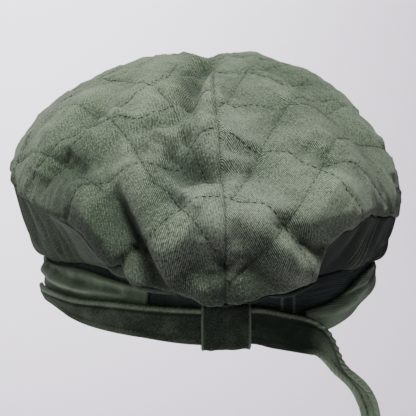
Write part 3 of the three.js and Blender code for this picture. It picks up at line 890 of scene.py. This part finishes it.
def crown_net(azimuths):
    """The crown's outer face without quilting: places, flat-cloth coordinates, and share of the way."""
    alongs = np.linspace(0, 1, CROWN_ROWS + 1) ** ROW_CROWDING
    azimuth, along = np.meshgrid(azimuths, alongs, indexing="ij")
    base = crown_profile(azimuth, along)
    before, after = np.maximum(along - 1e-3, 0), np.minimum(along + 1e-3, 1)
    heading = unit(crown_profile(azimuth, after) - crown_profile(azimuth, before))
    steps = np.linalg.norm(np.diff(base, axis=1), axis=-1)
    arc = np.concatenate([np.zeros((len(azimuths), 1)), np.cumsum(steps, axis=1)], axis=1)
    x = arc * np.cos(np.radians(azimuth))
    y = arc * np.sin(np.radians(azimuth))
    rise = deep_fold_rise(x, y) + sum(fold_rise(fold, x, y) for fold in CROWN_FOLDS)
    wave = np.sin(EDGE_GATHERS["count"] * np.radians(azimuth))
    rise = rise + EDGE_GATHERS["height"] * along ** EDGE_GATHERS["growth"] * wave
    outward = np.stack([-heading[..., 1], heading[..., 0]], -1)
    upright = base + outward * rise[..., None]
    place = around_head(azimuth, upright[..., 0], upright[..., 1])
    normal = around_head(azimuth, outward[..., 0], outward[..., 1])
    slide_x, slide_y = deep_fold_slide(x, y)
    turn = np.radians(azimuth)
    down_cloth = slide_x * np.cos(turn) + slide_y * np.sin(turn)
    around_cloth = slide_y * np.cos(turn) - slide_x * np.sin(turn)
    place += around_head(azimuth, heading[..., 0], heading[..., 1]) * down_cloth[..., None]
    place += np.stack([-np.sin(turn), np.cos(turn), 0 * turn], -1) * around_cloth[..., None]
    place[..., 0] += seam_drift(place)
    return place, normal, np.stack([x, y], -1), along, rise


def crumple(x, y):
    """Restless small folds of worn cotton."""
    rise = sum(height * cloth_noise(x, y, size, seed) for size, seed, height in SOFT_CRUMPLE)
    for size, seed, height, lean in SHARP_CRUMPLE:
        crease = 1 - np.abs(cloth_noise(x + lean * y, y, size, seed))
        rise = rise + height * (crease**3 - 0.4)
    return rise


print("crown rows:", CROWN_ROWS)

# %% [markdown]
# Rows of stitches and folds say where the crown wears, but not by how much. A short table adds that,
# together with painted light and shade: the middle of the back is painted paler most, partly as wear and
# partly as painted light, and the hollows by the deep fold and the rim are painted darker, as painted
# shade.

# %% Two crown halves
SEAM_HALF_GAP = 0.006
CENTRE_SEAM = [(0, 150), (0, -190)]
APEX_CALM = (0.01, 0.08)
RESTLESS = dict(x=-20, y=-98, width=34, least=0.8, more=0.6)
# Spots of wear and painted light: positive amounts are painted paler, partly wear and partly painted
# light; negative ones are painted shade in hollows and under bulges.
SPOTS_OF_WEAR_AND_PAINTED_LIGHT = [
    # x, y, width, amount
    [10, -138, 16, 0.7],
    [2, -116, 8, 0.5],
    [-10, -123, 8, -0.9],
    [-30, -142, 15, -0.9],
    [0, -177, 24, -1.2],
    [-32, -169, 12, -1.1],
    [-48, -140, 8, -0.8],
    [-28, -150, 9, -0.4],
    [-5, -158, 9, 0.5],
    [-7, -56, 7, -1.3],
    [-9.5, -78, 5, -1.1],
    [46, -104, 20, 0.5],
    [-60, -142, 18, -1.5],
    [-50, -152, 9, -0.7],
    [-76, -108, 20, -1.3],
    [95, -85, 30, -0.4],
    [-44, -60, 26, 0.35],
    [22, -142, 12, -0.3],
    [-66, -66, 18, -0.6],
    [44, -22, 24, -0.9],
    [42, -150, 12, 0.35],
    [-42, -108, 14, 0.45],
]


def amount_of_wear_and_painted_light(x, y):
    return sum(amount * hump(np.hypot(x - a, y - b), width) for a, b, width, amount in SPOTS_OF_WEAR_AND_PAINTED_LIGHT)


def crown_half(name, start, end, rows, shift, fabric):
    azimuths = fine_azimuths(start, end, CROWN_STEPS)
    place, normal, flat, along, folds = crown_net(azimuths)
    x, y = flat[..., 0], flat[..., 1]
    quilted, valley = quilting_rise(rows + [CENTRE_SEAM], x, y)
    calm = ease(along, *APEX_CALM)
    restless = hump(np.hypot(x - RESTLESS["x"], y - RESTLESS["y"]), RESTLESS["width"])
    crumpled = crumple(x, y) * (RESTLESS["least"] + RESTLESS["more"] * restless)
    outer = place + normal * ((quilted + crumpled) * calm)[..., None]
    inner = (place - normal * CROWN_WALL)[:, spread(CROWN_ROWS, LINING_ROWS)]
    outer = rolled(outer, inner, ROLL["seam"], ("first", "last"))
    outer = rolled(outer, inner, ROLL["rim"], ("bottom",))
    outer[..., 0] += shift
    inner[..., 0] += shift
    # Quilting swells and crumple are painted paler as wear; folds are painted paler on ridges and darker
    # in valleys, and the quilting's valleys darker, as painted light and shade.
    wear_and_painted_light = 0.35 * quilted + 0.25 * crumpled + 0.12 * np.clip(folds, -6, 8) - 0.25 * valley
    wear_and_painted_light = np.clip(wear_and_painted_light + amount_of_wear_and_painted_light(x, y), -1.5, 1.5)
    made = cloth_piece(name, outer, inner, False, flat, wear_and_painted_light, fabric)
    return made, outer, flat, azimuths


crown_left, left_net, left_flat, left_azimuths = crown_half(
    "quilted_crown_left", 90.0, 270.0, QUILTING_LEFT, -SEAM_HALF_GAP, "crown_left_twill"
)
crown_right, right_net, right_flat, right_azimuths = crown_half(
    "quilted_crown_right", 270.0, 450.0, QUILTING_RIGHT, SEAM_HALF_GAP, "crown_right_twill"
)

# %% [markdown]
# ## Gathered side
#
# Under the quilted edge a plain strip is gathered in and sewn over the headband's top. In each
# direction it is a curve from the edge down and then in, and its gathers are folds that run up and down,
# deepest halfway. They are uneven in the real cloth, so their spacing wanders.

# %% The side
SIDE_ROWS = 26
SIDE_STEPS = [(0, 190, 1.2), (190, 302, 0.7), (302, 310, 0.2), (310, 350, 0.7), (350, 360, 1.2)]
SIDE_TUCKS = [303.2, 304.9, 306.4, 308.4]
SIDE_LINING_ROWS = 8
GATHERS = dict(size=7.5, height=1.5, wander=5, small_size=3.6, small_height=0.35)
SIDE_RADIUS = 105
SIDE_FLAT_HEIGHT = 40
# Azimuths where the side's painted shade grows in and goes out again: the side under the back of the
# crown is painted darker.
SHADED_SIDE = (235, 285, 340, 400)


def bezier(points, share):
    """A cubic curve and its heading."""
    a, b, c, d = points
    s = share[None, :, None]
    r = 1 - s
    a, b, c, d = (p[:, None, :] for p in (a, b, c, d))
    place = r**3 * a + 3 * r * r * s * b + 3 * r * s * s * c + s**3 * d
    return place, unit(3 * r * r * (b - a) + 6 * r * s * (c - b) + 3 * s * s * (d - c))


def side_wall():
    azimuths = fine_azimuths(90.0, 450.0, SIDE_STEPS)[:-1]
    folds = crown_net(azimuths)[-1]
    edge = crown_profile(azimuths, 1.0)
    heading = unit(edge - crown_profile(azimuths, 0.99))
    outward = np.stack([-heading[:, 1], heading[:, 0]], -1)
    start = edge + outward * (folds[:, -1] - SIDE_SET_BACK)[:, None] + heading * CLOTH_GAP
    top = form("band_top", azimuths)
    end = np.stack([head_radius(azimuths) + SIDE_TURN_IN, top + CLOTH_GAP], -1)
    fall = start + heading * form("fall", azimuths)[:, None]
    turn_in = end + np.stack([form("puff", azimuths), np.full(len(azimuths), CLOTH_GAP)], -1)
    share = np.linspace(0, 1, SIDE_ROWS + 1)
    curve, way = bezier((start, fall, turn_in, end), share)
    out = np.stack([-way[..., 1], way[..., 0]], -1)
    azimuth = np.repeat(azimuths[:, None], SIDE_ROWS + 1, axis=1)
    down = np.repeat(share[None, :], len(azimuths), axis=0)
    around = np.radians(azimuth) * SIDE_RADIUS
    wandered = around + GATHERS["wander"] * cloth_noise(around, down * 30, 30, 21)
    gathers = np.abs(cloth_noise(wandered, down * 9, GATHERS["size"], 22)) * 2 - 0.75
    small = cloth_noise(wandered, down * 14, GATHERS["small_size"], 23)
    swell = np.sin(math.pi * np.clip(down, 0, 1)) ** 0.8
    tucks = sum(hump(azimuth - tuck, 0.3) for tuck in SIDE_TUCKS)
    rise = GATHERS["height"] * gathers + GATHERS["small_height"] * small + 0.5 * tucks
    rise = rise * swell
    faces = []
    for lift in (rise, -SIDE_WALL + 0 * rise):
        face = curve + out * lift[..., None]
        face = around_head(azimuth, face[..., 0], face[..., 1])
        face[..., 0] += (1 - down) * seam_drift(face)
        faces.append(face)
    outer, inner = faces
    inner = inner[:, spread(SIDE_ROWS, SIDE_LINING_ROWS)]
    flat = np.stack([around, down * SIDE_FLAT_HEIGHT], -1)
    # Painted shade: the side is painted darker round the back-right under the crown's overhang, with
    # stronger painted light and shade on its gathers there; the tucks are painted paler, a painted
    # highlight.
    shaded = ease(azimuth, *SHADED_SIDE[:2]) * (1 - ease(azimuth, *SHADED_SIDE[2:]))
    wear_and_painted_light = (0.35 + 0.5 * shaded) * rise + 0.1 - 2.6 * shaded + 2 * tucks
    wear_and_painted_light = np.clip(wear_and_painted_light, -2.8, 1.5)
    return cloth_piece("gathered_side", outer, inner, True, flat, wear_and_painted_light, "side_twill")


gathered_side = side_wall()

# %% [markdown]
# ## Headband
#
# The headband is a plain double strip round the head opening. Its face shows two stitched lines and a
# slight waviness between them, where the sewing has drawn the cloth in.

# %% The headband
BAND_ROWS = 18
BAND_STEPS = [(0, 283, 1.0), (283, 292, 0.2), (292, 360, 1.0)]
BAND_SEAMS = [284.2, 287.6]
BAND_STITCHES = 2.2


def headband_wall():
    azimuths = fine_azimuths(90.0, 450.0, BAND_STEPS)[:-1]
    down = np.linspace(0, 1, BAND_ROWS + 1)
    azimuth, share = np.meshgrid(azimuths, down, indexing="ij")
    top, bottom = form("band_top", azimuth), form("band_bottom", azimuth)
    height = top + (bottom - top) * share
    around = np.radians(azimuth) * head_radius(azimuth)
    rise = 0.3 * cloth_noise(around, height, 5, 31) + 0.2 * cloth_noise(around, height, 2.5, 32)
    for from_edge in (top - height, height - bottom):
        rise = rise - 0.3 * hump(from_edge - BAND_STITCHES, 0.7)
    seams = sum(hump(azimuth - seam, 0.4) for seam in BAND_SEAMS)
    rise = rise + 0.5 * seams
    outer = around_head(azimuth, head_radius(azimuth) + BAND_WALL + 0.6 * rise - 0.1, height)
    inner = around_head(azimuth, head_radius(azimuth), height)
    outer = rolled(outer, inner, ROLL["band"], ("top", "bottom"))
    flat = np.stack([around, height], -1)
    wear_and_painted_light = np.clip(rise - 0.2 + 2.4 * seams, -1, 2)
    return cloth_piece("headband_cloth", outer, inner, True, flat, wear_and_painted_light, "band_cotton")


headband_cloth = headband_wall()

# %% [markdown]
# ## Cuff
#
# A folded strip lies on the headband from one side of the back, round the front, to the other. At the
# left its cloth is dragged into long folds that fan out from the corner; at the right it ends square.

# %% The cuff
CUFF_FOLDS = [
    # azimuth1, height1, azimuth2, height2, width, rise
    [198, 17, 226, 18.5, 3, 1.8],
    [205, 19, 243, 20.5, 2.6, 1.4],
    [196, 15.5, 230, 16, 2.4, 1],
    [300, 8, 320, 15, 3, 1.2],
    [204, 20, 243, 20.3, 1.6, -1.6],
    [202, 23, 240, 24.2, 1.4, 0.8],
    [212, 17.8, 243, 17.2, 1.6, 0.9],
    [300, 14, 340, 15.5, 1.2, -1.2],
]
CUFF = table(
    "azimuth bottom top",
    [
        [-69, 3, 11.6],
        [-62, 1, 12.2],
        [-53, 3, 15],
        [-45, 6.6, 18.6],
        [-33, 7.4, 20],
        [0, 6.4, 16.4],
        [45, 7.8, 19.8],
        [90, 8.2, 23.4],
        [135, 7.6, 21.8],
        [180, 5.2, 19.4],
        [206, 4.9, 21.8],
        [228, 2.6, 25.6],
        [251, 1.9, 22.6],
    ],
)
TIE = table(
    "azimuth outward height wide turn",
    [
        [187, 6.2, 5.2, 2.4, 0],
        [192, 6, 5.4, 3.6, 0],
        [202, 5.9, 6.4, 5.6, 0],
        [214, 5.9, 7.8, 7.4, 0],
        [227, 5.9, 7.8, 10.6, 0],
        [241, 5.9, 9, 13.4, 0],
        [250, 5.9, 9.3, 14.2, 0],
        [258, 4.4, 8.6, 15.2, 0],
        [264, 3.6, 8.2, 15.6, 0],
        [277, 3.6, 8, 15.6, 0],
        [282.6, 4.6, 5.6, 16, -3],
        [285.7, 6.8, 4.5, 15.7, -9],
        [288.5, 8.6, 3.2, 15.3, -14],
        [290.9, 9.8, 1.7, 14.5, -17],
        [293, 10.4, -0.4, 13.3, -17],
        [294.9, 10.8, -4, 11.6, -17],
        [296.7, 11.2, -8.6, 9.3, -14],
        [298.4, 11.6, -13.1, 7.2, -1],
        [300.7, 12, -17.2, 6.3, 16],
        [303.7, 12.4, -21.6, 6.7, 29],
        [306.7, 13, -26.6, 7.7, 32],
        [309.1, 13.6, -32, 8.5, 29],
        [310.7, 14.4, -37.8, 8.7, 25],
        [311.7, 15.2, -46.4, 8.4, 23],
        [312.4, 16, -66, 8, 25],
    ],
)
CUFF_ROWS = 26
CUFF_STEPS = [(0, 190, 1.2), (190, 345, 0.6), (345, 360, 1.2)]
CUFF_ENDS = (-69.0, 251.0)
UNDER_TIE = (187, 270)
# Azimuths over which the cuff's ends at the back, the right end more, are painted paler as painted light.
BACK_ENDS_PAINTED_LIGHT, RIGHT_END_PAINTED_LIGHT = (120, 150), (20, 45)


def cuff_wall():
    azimuths = fine_azimuths(*CUFF_ENDS, CUFF_STEPS)
    share = np.linspace(0, 1, CUFF_ROWS + 1)
    azimuth, down = np.meshgrid(azimuths, share, indexing="ij")
    top, bottom = between(CUFF, "top", azimuth), between(CUFF, "bottom", azimuth)
    height = top + (bottom - top) * down
    turned = np.mod(azimuth, 360)
    around = np.radians(turned) * head_radius(azimuth)
    folds = np.zeros_like(height)
    for a1, h1, a2, h2, width, rise in CUFF_FOLDS:
        start = np.radians(turned - a1) * head_radius(azimuth)
        length = np.radians(a2 - a1) * head_radius(azimuth)
        folds += rise * hump(from_line(start, height - h1, length, h2 - h1), width)
    tie_top = between(TIE, "height", turned) + between(TIE, "wide", turned) / 2
    tie_top = np.where((turned < UNDER_TIE[0]) | (turned > UNDER_TIE[1]), 0, tie_top)
    free = ease(height, tie_top + 0.5, tie_top + 3.5)
    drag = cloth_noise(around * 0.22, height + 0.04 * around, 2.6, 41) * 0.55
    drag += 0.25 * cloth_noise(around, height, 6, 42)
    rise = (folds + 0.9 * drag) * free
    radius = head_radius(azimuth) + BAND_WALL + SEWN_GAP
    outer = around_head(azimuth, radius + CUFF_WALL + rise - 0.15, height)
    inner = around_head(azimuth, radius + 0 * height, height)
    outer = rolled(outer, inner, ROLL["cuff"], ("first", "last", "top", "bottom"))
    hem = hump(top - height - 0.7, 0.8)
    # Painted light: the cuff's two ends at the back are painted paler, the right end more.
    painted_light_at_ends = ease(np.abs(azimuth - 90), *BACK_ENDS_PAINTED_LIGHT) + ease(-azimuth, *RIGHT_END_PAINTED_LIGHT)
    wear_and_painted_light = np.clip(0.7 * rise + 0.9 * hem - 0.3 + 0.9 * painted_light_at_ends, -1.5, 1.8)
    flat = np.stack([around, height], -1)
    return cloth_piece("cuff_cloth", outer, inner, False, flat, wear_and_painted_light, "cuff_twill")


cuff_cloth = cuff_wall()

# %% [markdown]
# ## Tie
#
# The tie is a flat folded strip. It lies on the cuff, passes through the loop and hangs free at the
# right, where it is folded lengthwise once more and so half as wide. Its two long edges are hems,
# stitched close to the fold. Such a hem draws into a row of slanting bulges, as a twisted rope has,
# because its layers feed unevenly under the machine's foot. The strip's section is carried along its
# line and turned with it, and the hems are added. At the back the lower hem hardly shows, and where the
# tie hangs the upper one flattens.

# %% The tie
TIE_COLUMNS = 420
TIE_SECTION = 24
TIE_LEAVES = (163, 186)
LOWER_HEM_SHOWS = (180, 200)
UPPER_HEM_FADES = (200, 225)
ROPE_PITCH, ROPE_LEAN = 3.4, 2.6
# Where along the tie, in mm, its painted shade grows, and by how much.
TIE_SHADE = [(70, 110, 0.7), (135, 160, 0.8)]


def tie_middle(azimuth):
    radius = head_radius(azimuth) + between(TIE, "outward", azimuth)
    return around_head(azimuth, radius, between(TIE, "height", azimuth))


def tie_line(share):
    """The tie's middle line at shares of its table: azimuth, place, heading, width and face."""
    index = np.arange(len(TIE["azimuth"]))
    azimuth = np.interp(share * index[-1], index, TIE["azimuth"])
    place = tie_middle(azimuth)
    heading = unit(tie_middle(azimuth + 0.25) - tie_middle(azimuth - 0.25))
    up = np.array([0.0, 0.0, 1.0])
    width = unit(up - heading * (heading @ up)[:, None])
    turn = np.radians(between(TIE, "turn", azimuth))[:, None]
    width = width * np.cos(turn) + np.cross(heading, width) * np.sin(turn)
    return azimuth, place, heading, width, np.cross(heading, width)


def tie_wall():
    share = np.linspace(0, 1, TIE_COLUMNS + 1)
    azimuth, place, heading, width, face = tie_line(share)
    steps = np.linalg.norm(np.diff(place, axis=0), axis=-1)
    run = np.concatenate([[0], np.cumsum(steps)])
    half = between(TIE, "wide", azimuth) / 2
    across = np.linspace(1, -1, TIE_SECTION + 1)
    offset = half[:, None] * across[None, :]
    from_edge = half[:, None] - np.abs(offset)
    edge_side = np.sign(across)[None, :]
    slant = run[:, None] / ROPE_PITCH + from_edge / ROPE_LEAN + 0.25 * edge_side
    upper_hem = 1 - 0.7 * ease(run, *UPPER_HEM_FADES)[:, None]
    lower_hem = 0.2 + 0.8 * ease(run, *LOWER_HEM_SHOWS)[:, None]
    shown = upper_hem * (edge_side > 0) + lower_hem * (edge_side <= 0)
    rope = shown * np.sin(math.tau * slant) * hump(from_edge - 1.1, 1.3)
    hem = shown * np.exp(-(((from_edge - 1.2) / 1.2) ** 4))
    stitch = shown * hump(from_edge - 2.9, 0.45)
    lengths = np.repeat(run[:, None], TIE_SECTION + 1, axis=1)
    soft = cloth_noise(lengths * 0.4, offset, 3.2, 51) + 0.5 * cloth_noise(lengths, offset, 5, 52)
    free = ease(run, *TIE_LEAVES)[:, None]
    rise = 0.25 * hem + (0.12 + 0.4 * free) * rope - 0.25 * stitch + 0.28 * soft * (1 - hem)
    edges = place[:, None] + width[:, None] * offset[..., None]
    outer = edges + face[:, None] * (TIE_WALL / 2 + rise)[..., None]
    inner = edges - face[:, None] * (TIE_WALL / 2 + free * rise)[..., None]
    outer = rolled(outer, inner, ROLL["tie"], ("first", "last", "top", "bottom"))
    flat = np.stack([lengths, offset], -1)
    # Painted shade: the tie is painted darker along its run round the back, under the back bulge; its
    # free hanging end is painted paler, as painted light, and its hems paler, more so in the painted
    # shade.
    shaded = 0.3 + sum(more * ease(run, start, end) for start, end, more in TIE_SHADE)[:, None]
    wear_and_painted_light = 1.6 * rise + (0.9 + 0.6 * shaded) * hem - 1.2 * stitch
    wear_and_painted_light = np.clip(wear_and_painted_light + (1.3 + 0.9 * rope) * free - shaded * (1 - free), -2, 2.2)
    print("tie length in mm:", round(float(run[-1])))
    return cloth_piece("tie_cloth", outer, inner, False, flat, wear_and_painted_light, "tie_twill")


tie_cloth = tie_wall()

# %% [markdown]
# ## Back loop
#
# The loop is a short strip, sewn to the band above the tie and tucked in below the band. It passes over
# the tie, so it bulges a little, and its two upright selvedges are slightly thicker and paler.

# %% The loop
LOOP = dict(sewn_to=21.5, bends_at=17, tucked_in=0.4, below=0.5, over_tie_at=264.0)
LOOP_SMOOTHINGS = 6
LOOP_COLUMNS = 44
LOOP_ROWS_BETWEEN = 10


def loop_wall():
    on_band = BAND_WALL + SEWN_GAP
    over_tie = between(TIE, "outward", np.array(LOOP["over_tie_at"])) + TIE_WALL / 2 + SEWN_GAP
    path = np.array(
        [
            [on_band, LOOP["sewn_to"]],
            [on_band, LOOP["bends_at"]],
            [over_tie, LOOP["bends_at"] - 1],
            [over_tie, 0],
            [over_tie - 1, -LOOP["below"]],
            [LOOP["tucked_in"], -LOOP["below"]],
        ]
    )
    at = np.linspace(0, len(path) - 1, LOOP_ROWS_BETWEEN * (len(path) - 1) + 1)
    dense = np.stack([np.interp(at, np.arange(len(path)), path[:, k]) for k in (0, 1)], -1)
    for _ in range(LOOP_SMOOTHINGS):
        dense[1:-1] = (dense[:-2] + 2 * dense[1:-1] + dense[2:]) / 4
    way = unit(np.gradient(dense, axis=0))
    out = np.stack([-way[:, 1], way[:, 0]], -1)
    steps = np.linalg.norm(np.diff(dense, axis=0), axis=-1)
    run = np.concatenate([[0], np.cumsum(steps)])
    half_angle = math.degrees(LOOP_WIDTH / 2 / (HEAD_HALF_DEPTH + over_tie))
    share = np.linspace(-1, 1, LOOP_COLUMNS + 1)
    azimuth = (270 + half_angle * share)[:, None]
    from_edge = (1 - np.abs(share)) * LOOP_WIDTH / 2
    selvedge = hump(from_edge - 0.5, 0.45)[:, None]
    across = (share * LOOP_WIDTH / 2)[:, None] + 0 * run[None, :]
    down = run[None, :] + 0 * across
    soft = 0.35 * cloth_noise(across, down * 0.5, 3.5, 61) + 0.2 * cloth_noise(across, down, 2, 62)
    rise = 0.3 * selvedge + soft
    radius = head_radius(azimuth) + dense[:, 0]
    thick = LOOP_WALL + rise - 0.1
    outer = around_head(azimuth, radius + out[:, 0] * thick, dense[:, 1] + out[:, 1] * thick)
    inner = around_head(azimuth, radius, dense[:, 1] + 0 * azimuth)
    outer = rolled(outer, inner, ROLL["loop"], ("first", "last"))
    flat = np.stack([across, down], -1)
    # Painted shade: the loop is painted darker as a whole, for the back bulge above it; its selvedges are
    # paler.
    wear_and_painted_light = np.clip(0.4 * soft - 0.9 + 2.6 * selvedge, -1.5, 1.8)
    return cloth_piece("back_loop_cloth", outer, inner, False, flat, wear_and_painted_light, "loop_cotton")


back_loop_cloth = loop_wall()

# %% [markdown]
# ## Stitches
#
# Each row of stitches is a line on the finished cloth. Geometry Nodes walk along such a line, set one
# short rounded stitch at every pitch, turn it to the line's heading and vary it a little. The lines come
# from the flat cloth: a row's point is looked up in the crown's net, and lifted off it a little.

# %% A stitch generator
def stitch_tree():
    """Geometry Nodes: stitches along the lines of a mesh of edges."""
    tree = bpy.data.node_groups.new("stitches", "GeometryNodeTree")
    face = tree.interface
    face.new_socket("Geometry", in_out="INPUT", socket_type="NodeSocketGeometry")
    for name in ("Pitch", "Stitch length", "Thread width"):
        face.new_socket(name, in_out="INPUT", socket_type="NodeSocketFloat")
    face.new_socket("Seed", in_out="INPUT", socket_type="NodeSocketInt")
    face.new_socket("Thread", in_out="INPUT", socket_type="NodeSocketMaterial")
    face.new_socket("Geometry", in_out="OUTPUT", socket_type="NodeSocketGeometry")

    def add(kind, output=0, settings=None, **inputs):
        inputs = {name.replace("_", " "): value for name, value in inputs.items()}
        return add_node(tree, kind, settings or {}, inputs).outputs[output]

    given = add_node(tree, "NodeGroupInput", {}, {}).outputs
    width, pitch = given["Thread width"], given["Pitch"]
    curve = add("GeometryNodeMeshToCurve", Mesh=given["Geometry"])
    row = add("GeometryNodeResampleCurve", 0, {"mode": "LENGTH"}, Curve=curve, Length=pitch)
    ball = add("GeometryNodeMeshUVSphere", Segments=6, Rings=4, Radius=0.5)
    size = add("ShaderNodeCombineXYZ", X=width, Y=width, Z=given["Stitch length"])
    tangent = add("GeometryNodeInputTangent")
    turned = add("FunctionNodeAlignRotationToVector", 0, {"axis": "Z"}, Vector=tangent)
    settings, limits = {"data_type": "FLOAT"}, {2: 0.75, 3: 1.15, "Seed": given["Seed"]}
    vary = add_node(tree, "FunctionNodeRandomValue", settings, limits).outputs[1]
    settings, inputs = {"operation": "SCALE"}, {0: size, "Scale": vary}
    sized = add_node(tree, "ShaderNodeVectorMath", settings, inputs).outputs[0]
    stitches = add(
        "GeometryNodeInstanceOnPoints", Points=row, Instance=ball, Rotation=turned, Scale=sized
    )
    real = add("GeometryNodeRealizeInstances", Geometry=stitches)
    coloured = add("GeometryNodeSetMaterial", Geometry=real, Material=given["Thread"])
    add_node(tree, "NodeGroupOutput", {}, {"Geometry": coloured})
    return tree


STITCHES = stitch_tree()
print("stitch nodes:", len(STITCHES.nodes))


def sewn_rows(name, lines, pitch, length, width, thread, seed):
    """Stitches along lines of places in mm, as one plain mesh."""
    mesh = bpy.data.meshes.new(name + "_lines")
    points, edges = [], []
    for line in lines:
        first = len(points)
        points += [tuple(p * MM) for p in line]
        edges += [(i, i + 1) for i in range(first, len(points) - 1)]
    mesh.from_pydata(points, edges, [])
    guide = bpy.data.objects.new(name + "_lines", mesh)
    bpy.context.scene.collection.objects.link(guide)
    modifier = guide.modifiers.new("stitches", "NODES")
    modifier.node_group = STITCHES
    given = {
        "Pitch": pitch * MM,
        "Stitch length": length * MM,
        "Thread width": width * MM,
        "Seed": seed,
        "Thread": thread,
    }
    for item in STITCHES.interface.items_tree:
        if item.in_out == "INPUT" and item.name in given:
            modifier[item.identifier] = given[item.name]
    graph = bpy.context.evaluated_depsgraph_get()
    result = bpy.data.meshes.new_from_object(guide.evaluated_get(graph))
    result.name = name
    result.shade_smooth()
    bpy.data.objects.remove(guide)
    made = bpy.data.objects.new(name, result)
    bpy.context.scene.collection.objects.link(made)
    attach(made, "root")
    print(name, "faces", len(result.polygons))


# %% Rows on the crown
THREAD_LIFT = 0.12
CLEAR_OF_EDGE = 2
SEWN = [
    # piece, rows on the left half and on the right, pitch, stitch length, thread width, thread, seed
    ("quilting_stitches", QUILTING_LEFT, QUILTING_RIGHT, 2.9, 2.1, 0.34, DARK_THREAD, 7),
    ("worn_stitches", WORN_ROWS_LEFT, WORN_ROWS_RIGHT, 2.6, 1.0, 0.3, PALE_THREAD, 9),
]


def cloth_azimuth(x, y, azimuths):
    """Directions of points on the flat cloth, counted on from a net's first column."""
    azimuth = np.degrees(np.arctan2(y, x))
    return np.where(azimuth < azimuths[0] - 1e-6, azimuth + 360, azimuth)


def on_net(net, flat, azimuths, x, y, lift):
    """Places on a crown net under points of the flat cloth, lifted outwards by some mm."""
    normals = net_normals(net)
    column = np.interp(cloth_azimuth(x, y, azimuths), azimuths, np.arange(len(azimuths)))
    arcs = np.hypot(flat[..., 0], flat[..., 1])
    places = []
    for c, radius in zip(column, np.hypot(x, y)):
        a = int(min(c, len(azimuths) - 2))
        share = c - a
        arc = arcs[a] * (1 - share) + arcs[a + 1] * share
        r = np.interp(radius, arc, np.arange(len(arc)))
        b = int(min(r, len(arc) - 2))
        t = r - b
        weights = ((a, b, (1 - share) * (1 - t)), (a + 1, b, share * (1 - t)))
        weights += ((a, b + 1, (1 - share) * t), (a + 1, b + 1, share * t))
        places.append(sum(w * (net[i, j] + lift * normals[i, j]) for i, j, w in weights))
    return np.array(places)


def dense_line(row, step=1.2):
    """Points every step or so along a broken line."""
    points = []
    for a, b in zip(row[:-1], row[1:]):
        dx, dy = b[0] - a[0], b[1] - a[1]
        count = max(int(math.hypot(dx, dy) / step), 1)
        points += [(a[0] + dx * k / count, a[1] + dy * k / count) for k in range(count)]
    return np.array(points + [row[-1]], float)


def crown_rows(rows, net, flat, azimuths):
    """The rows as lines on the crown, ended a little before its edge."""
    edge = np.hypot(flat[:, -1, 0], flat[:, -1, 1])
    lines = []
    for row in rows:
        x, y = dense_line(row).T
        reach = np.interp(cloth_azimuth(x, y, azimuths), azimuths, edge)
        inside = np.hypot(x, y) < reach - CLEAR_OF_EDGE
        if inside.sum() > 3:
            lines.append(on_net(net, flat, azimuths, x[inside], y[inside], THREAD_LIFT))
    return lines


for name, left_rows, right_rows, *stitch in SEWN:
    lines = crown_rows(left_rows, left_net, left_flat, left_azimuths)
    lines += crown_rows(right_rows, right_net, right_flat, right_azimuths)
    sewn_rows(name, lines, *stitch)

# %% [markdown]
# ## What stands for what
#
# Every solid of the frame is soft cloth, so each is replaced by its finished piece, and the stitches ride
# on the cap's one body.

# %% Place the pieces in the frame
PLACED = [
    # piece, solid, slot
    (crown_left, "crown_left", "crown_cloth"),
    (crown_right, "crown_right", "crown_cloth"),
    (gathered_side, "under_crown", "side_cloth"),
    (headband_cloth, "headband", "band_cloth"),
    (cuff_cloth, "cuff", "cuff_cloth"),
    (tie_cloth, "tie_strap", "tie_cloth"),
    (back_loop_cloth, "back_loop", "loop_cloth"),
]
for piece, solid, slot in PLACED:
    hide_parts(solid)
    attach(piece, "root")
print("pieces placed:", len(PLACED))

# %% [markdown]
# The crown halves are padded, thin and slack. The other pieces are strips of cloth, and a table lists
# what each was cut to before it was sewn. The side is cut longer than the edge that it fills, for its
# gathers.

# %% What the strips were cut to
SHEETS = [
    # piece, width and length of the flat cut in mm, how it is held, and what it lies on
    (gathered_side, (36, 700), "gathered", [crown_left, crown_right, headband_cloth]),
    (headband_cloth, (21, 565), "stretched", [gathered_side]),
    (cuff_cloth, (15, 512), "folded", [headband_cloth]),
    (tie_cloth, (16, 262), "hung", [cuff_cloth, headband_cloth]),
    (back_loop_cloth, (20.5, 36), "laid", [headband_cloth, tie_cloth]),
]
for piece, (width, length), held, below in SHEETS:
    width * MM
    length * MM
print("sheets:", len(SHEETS))
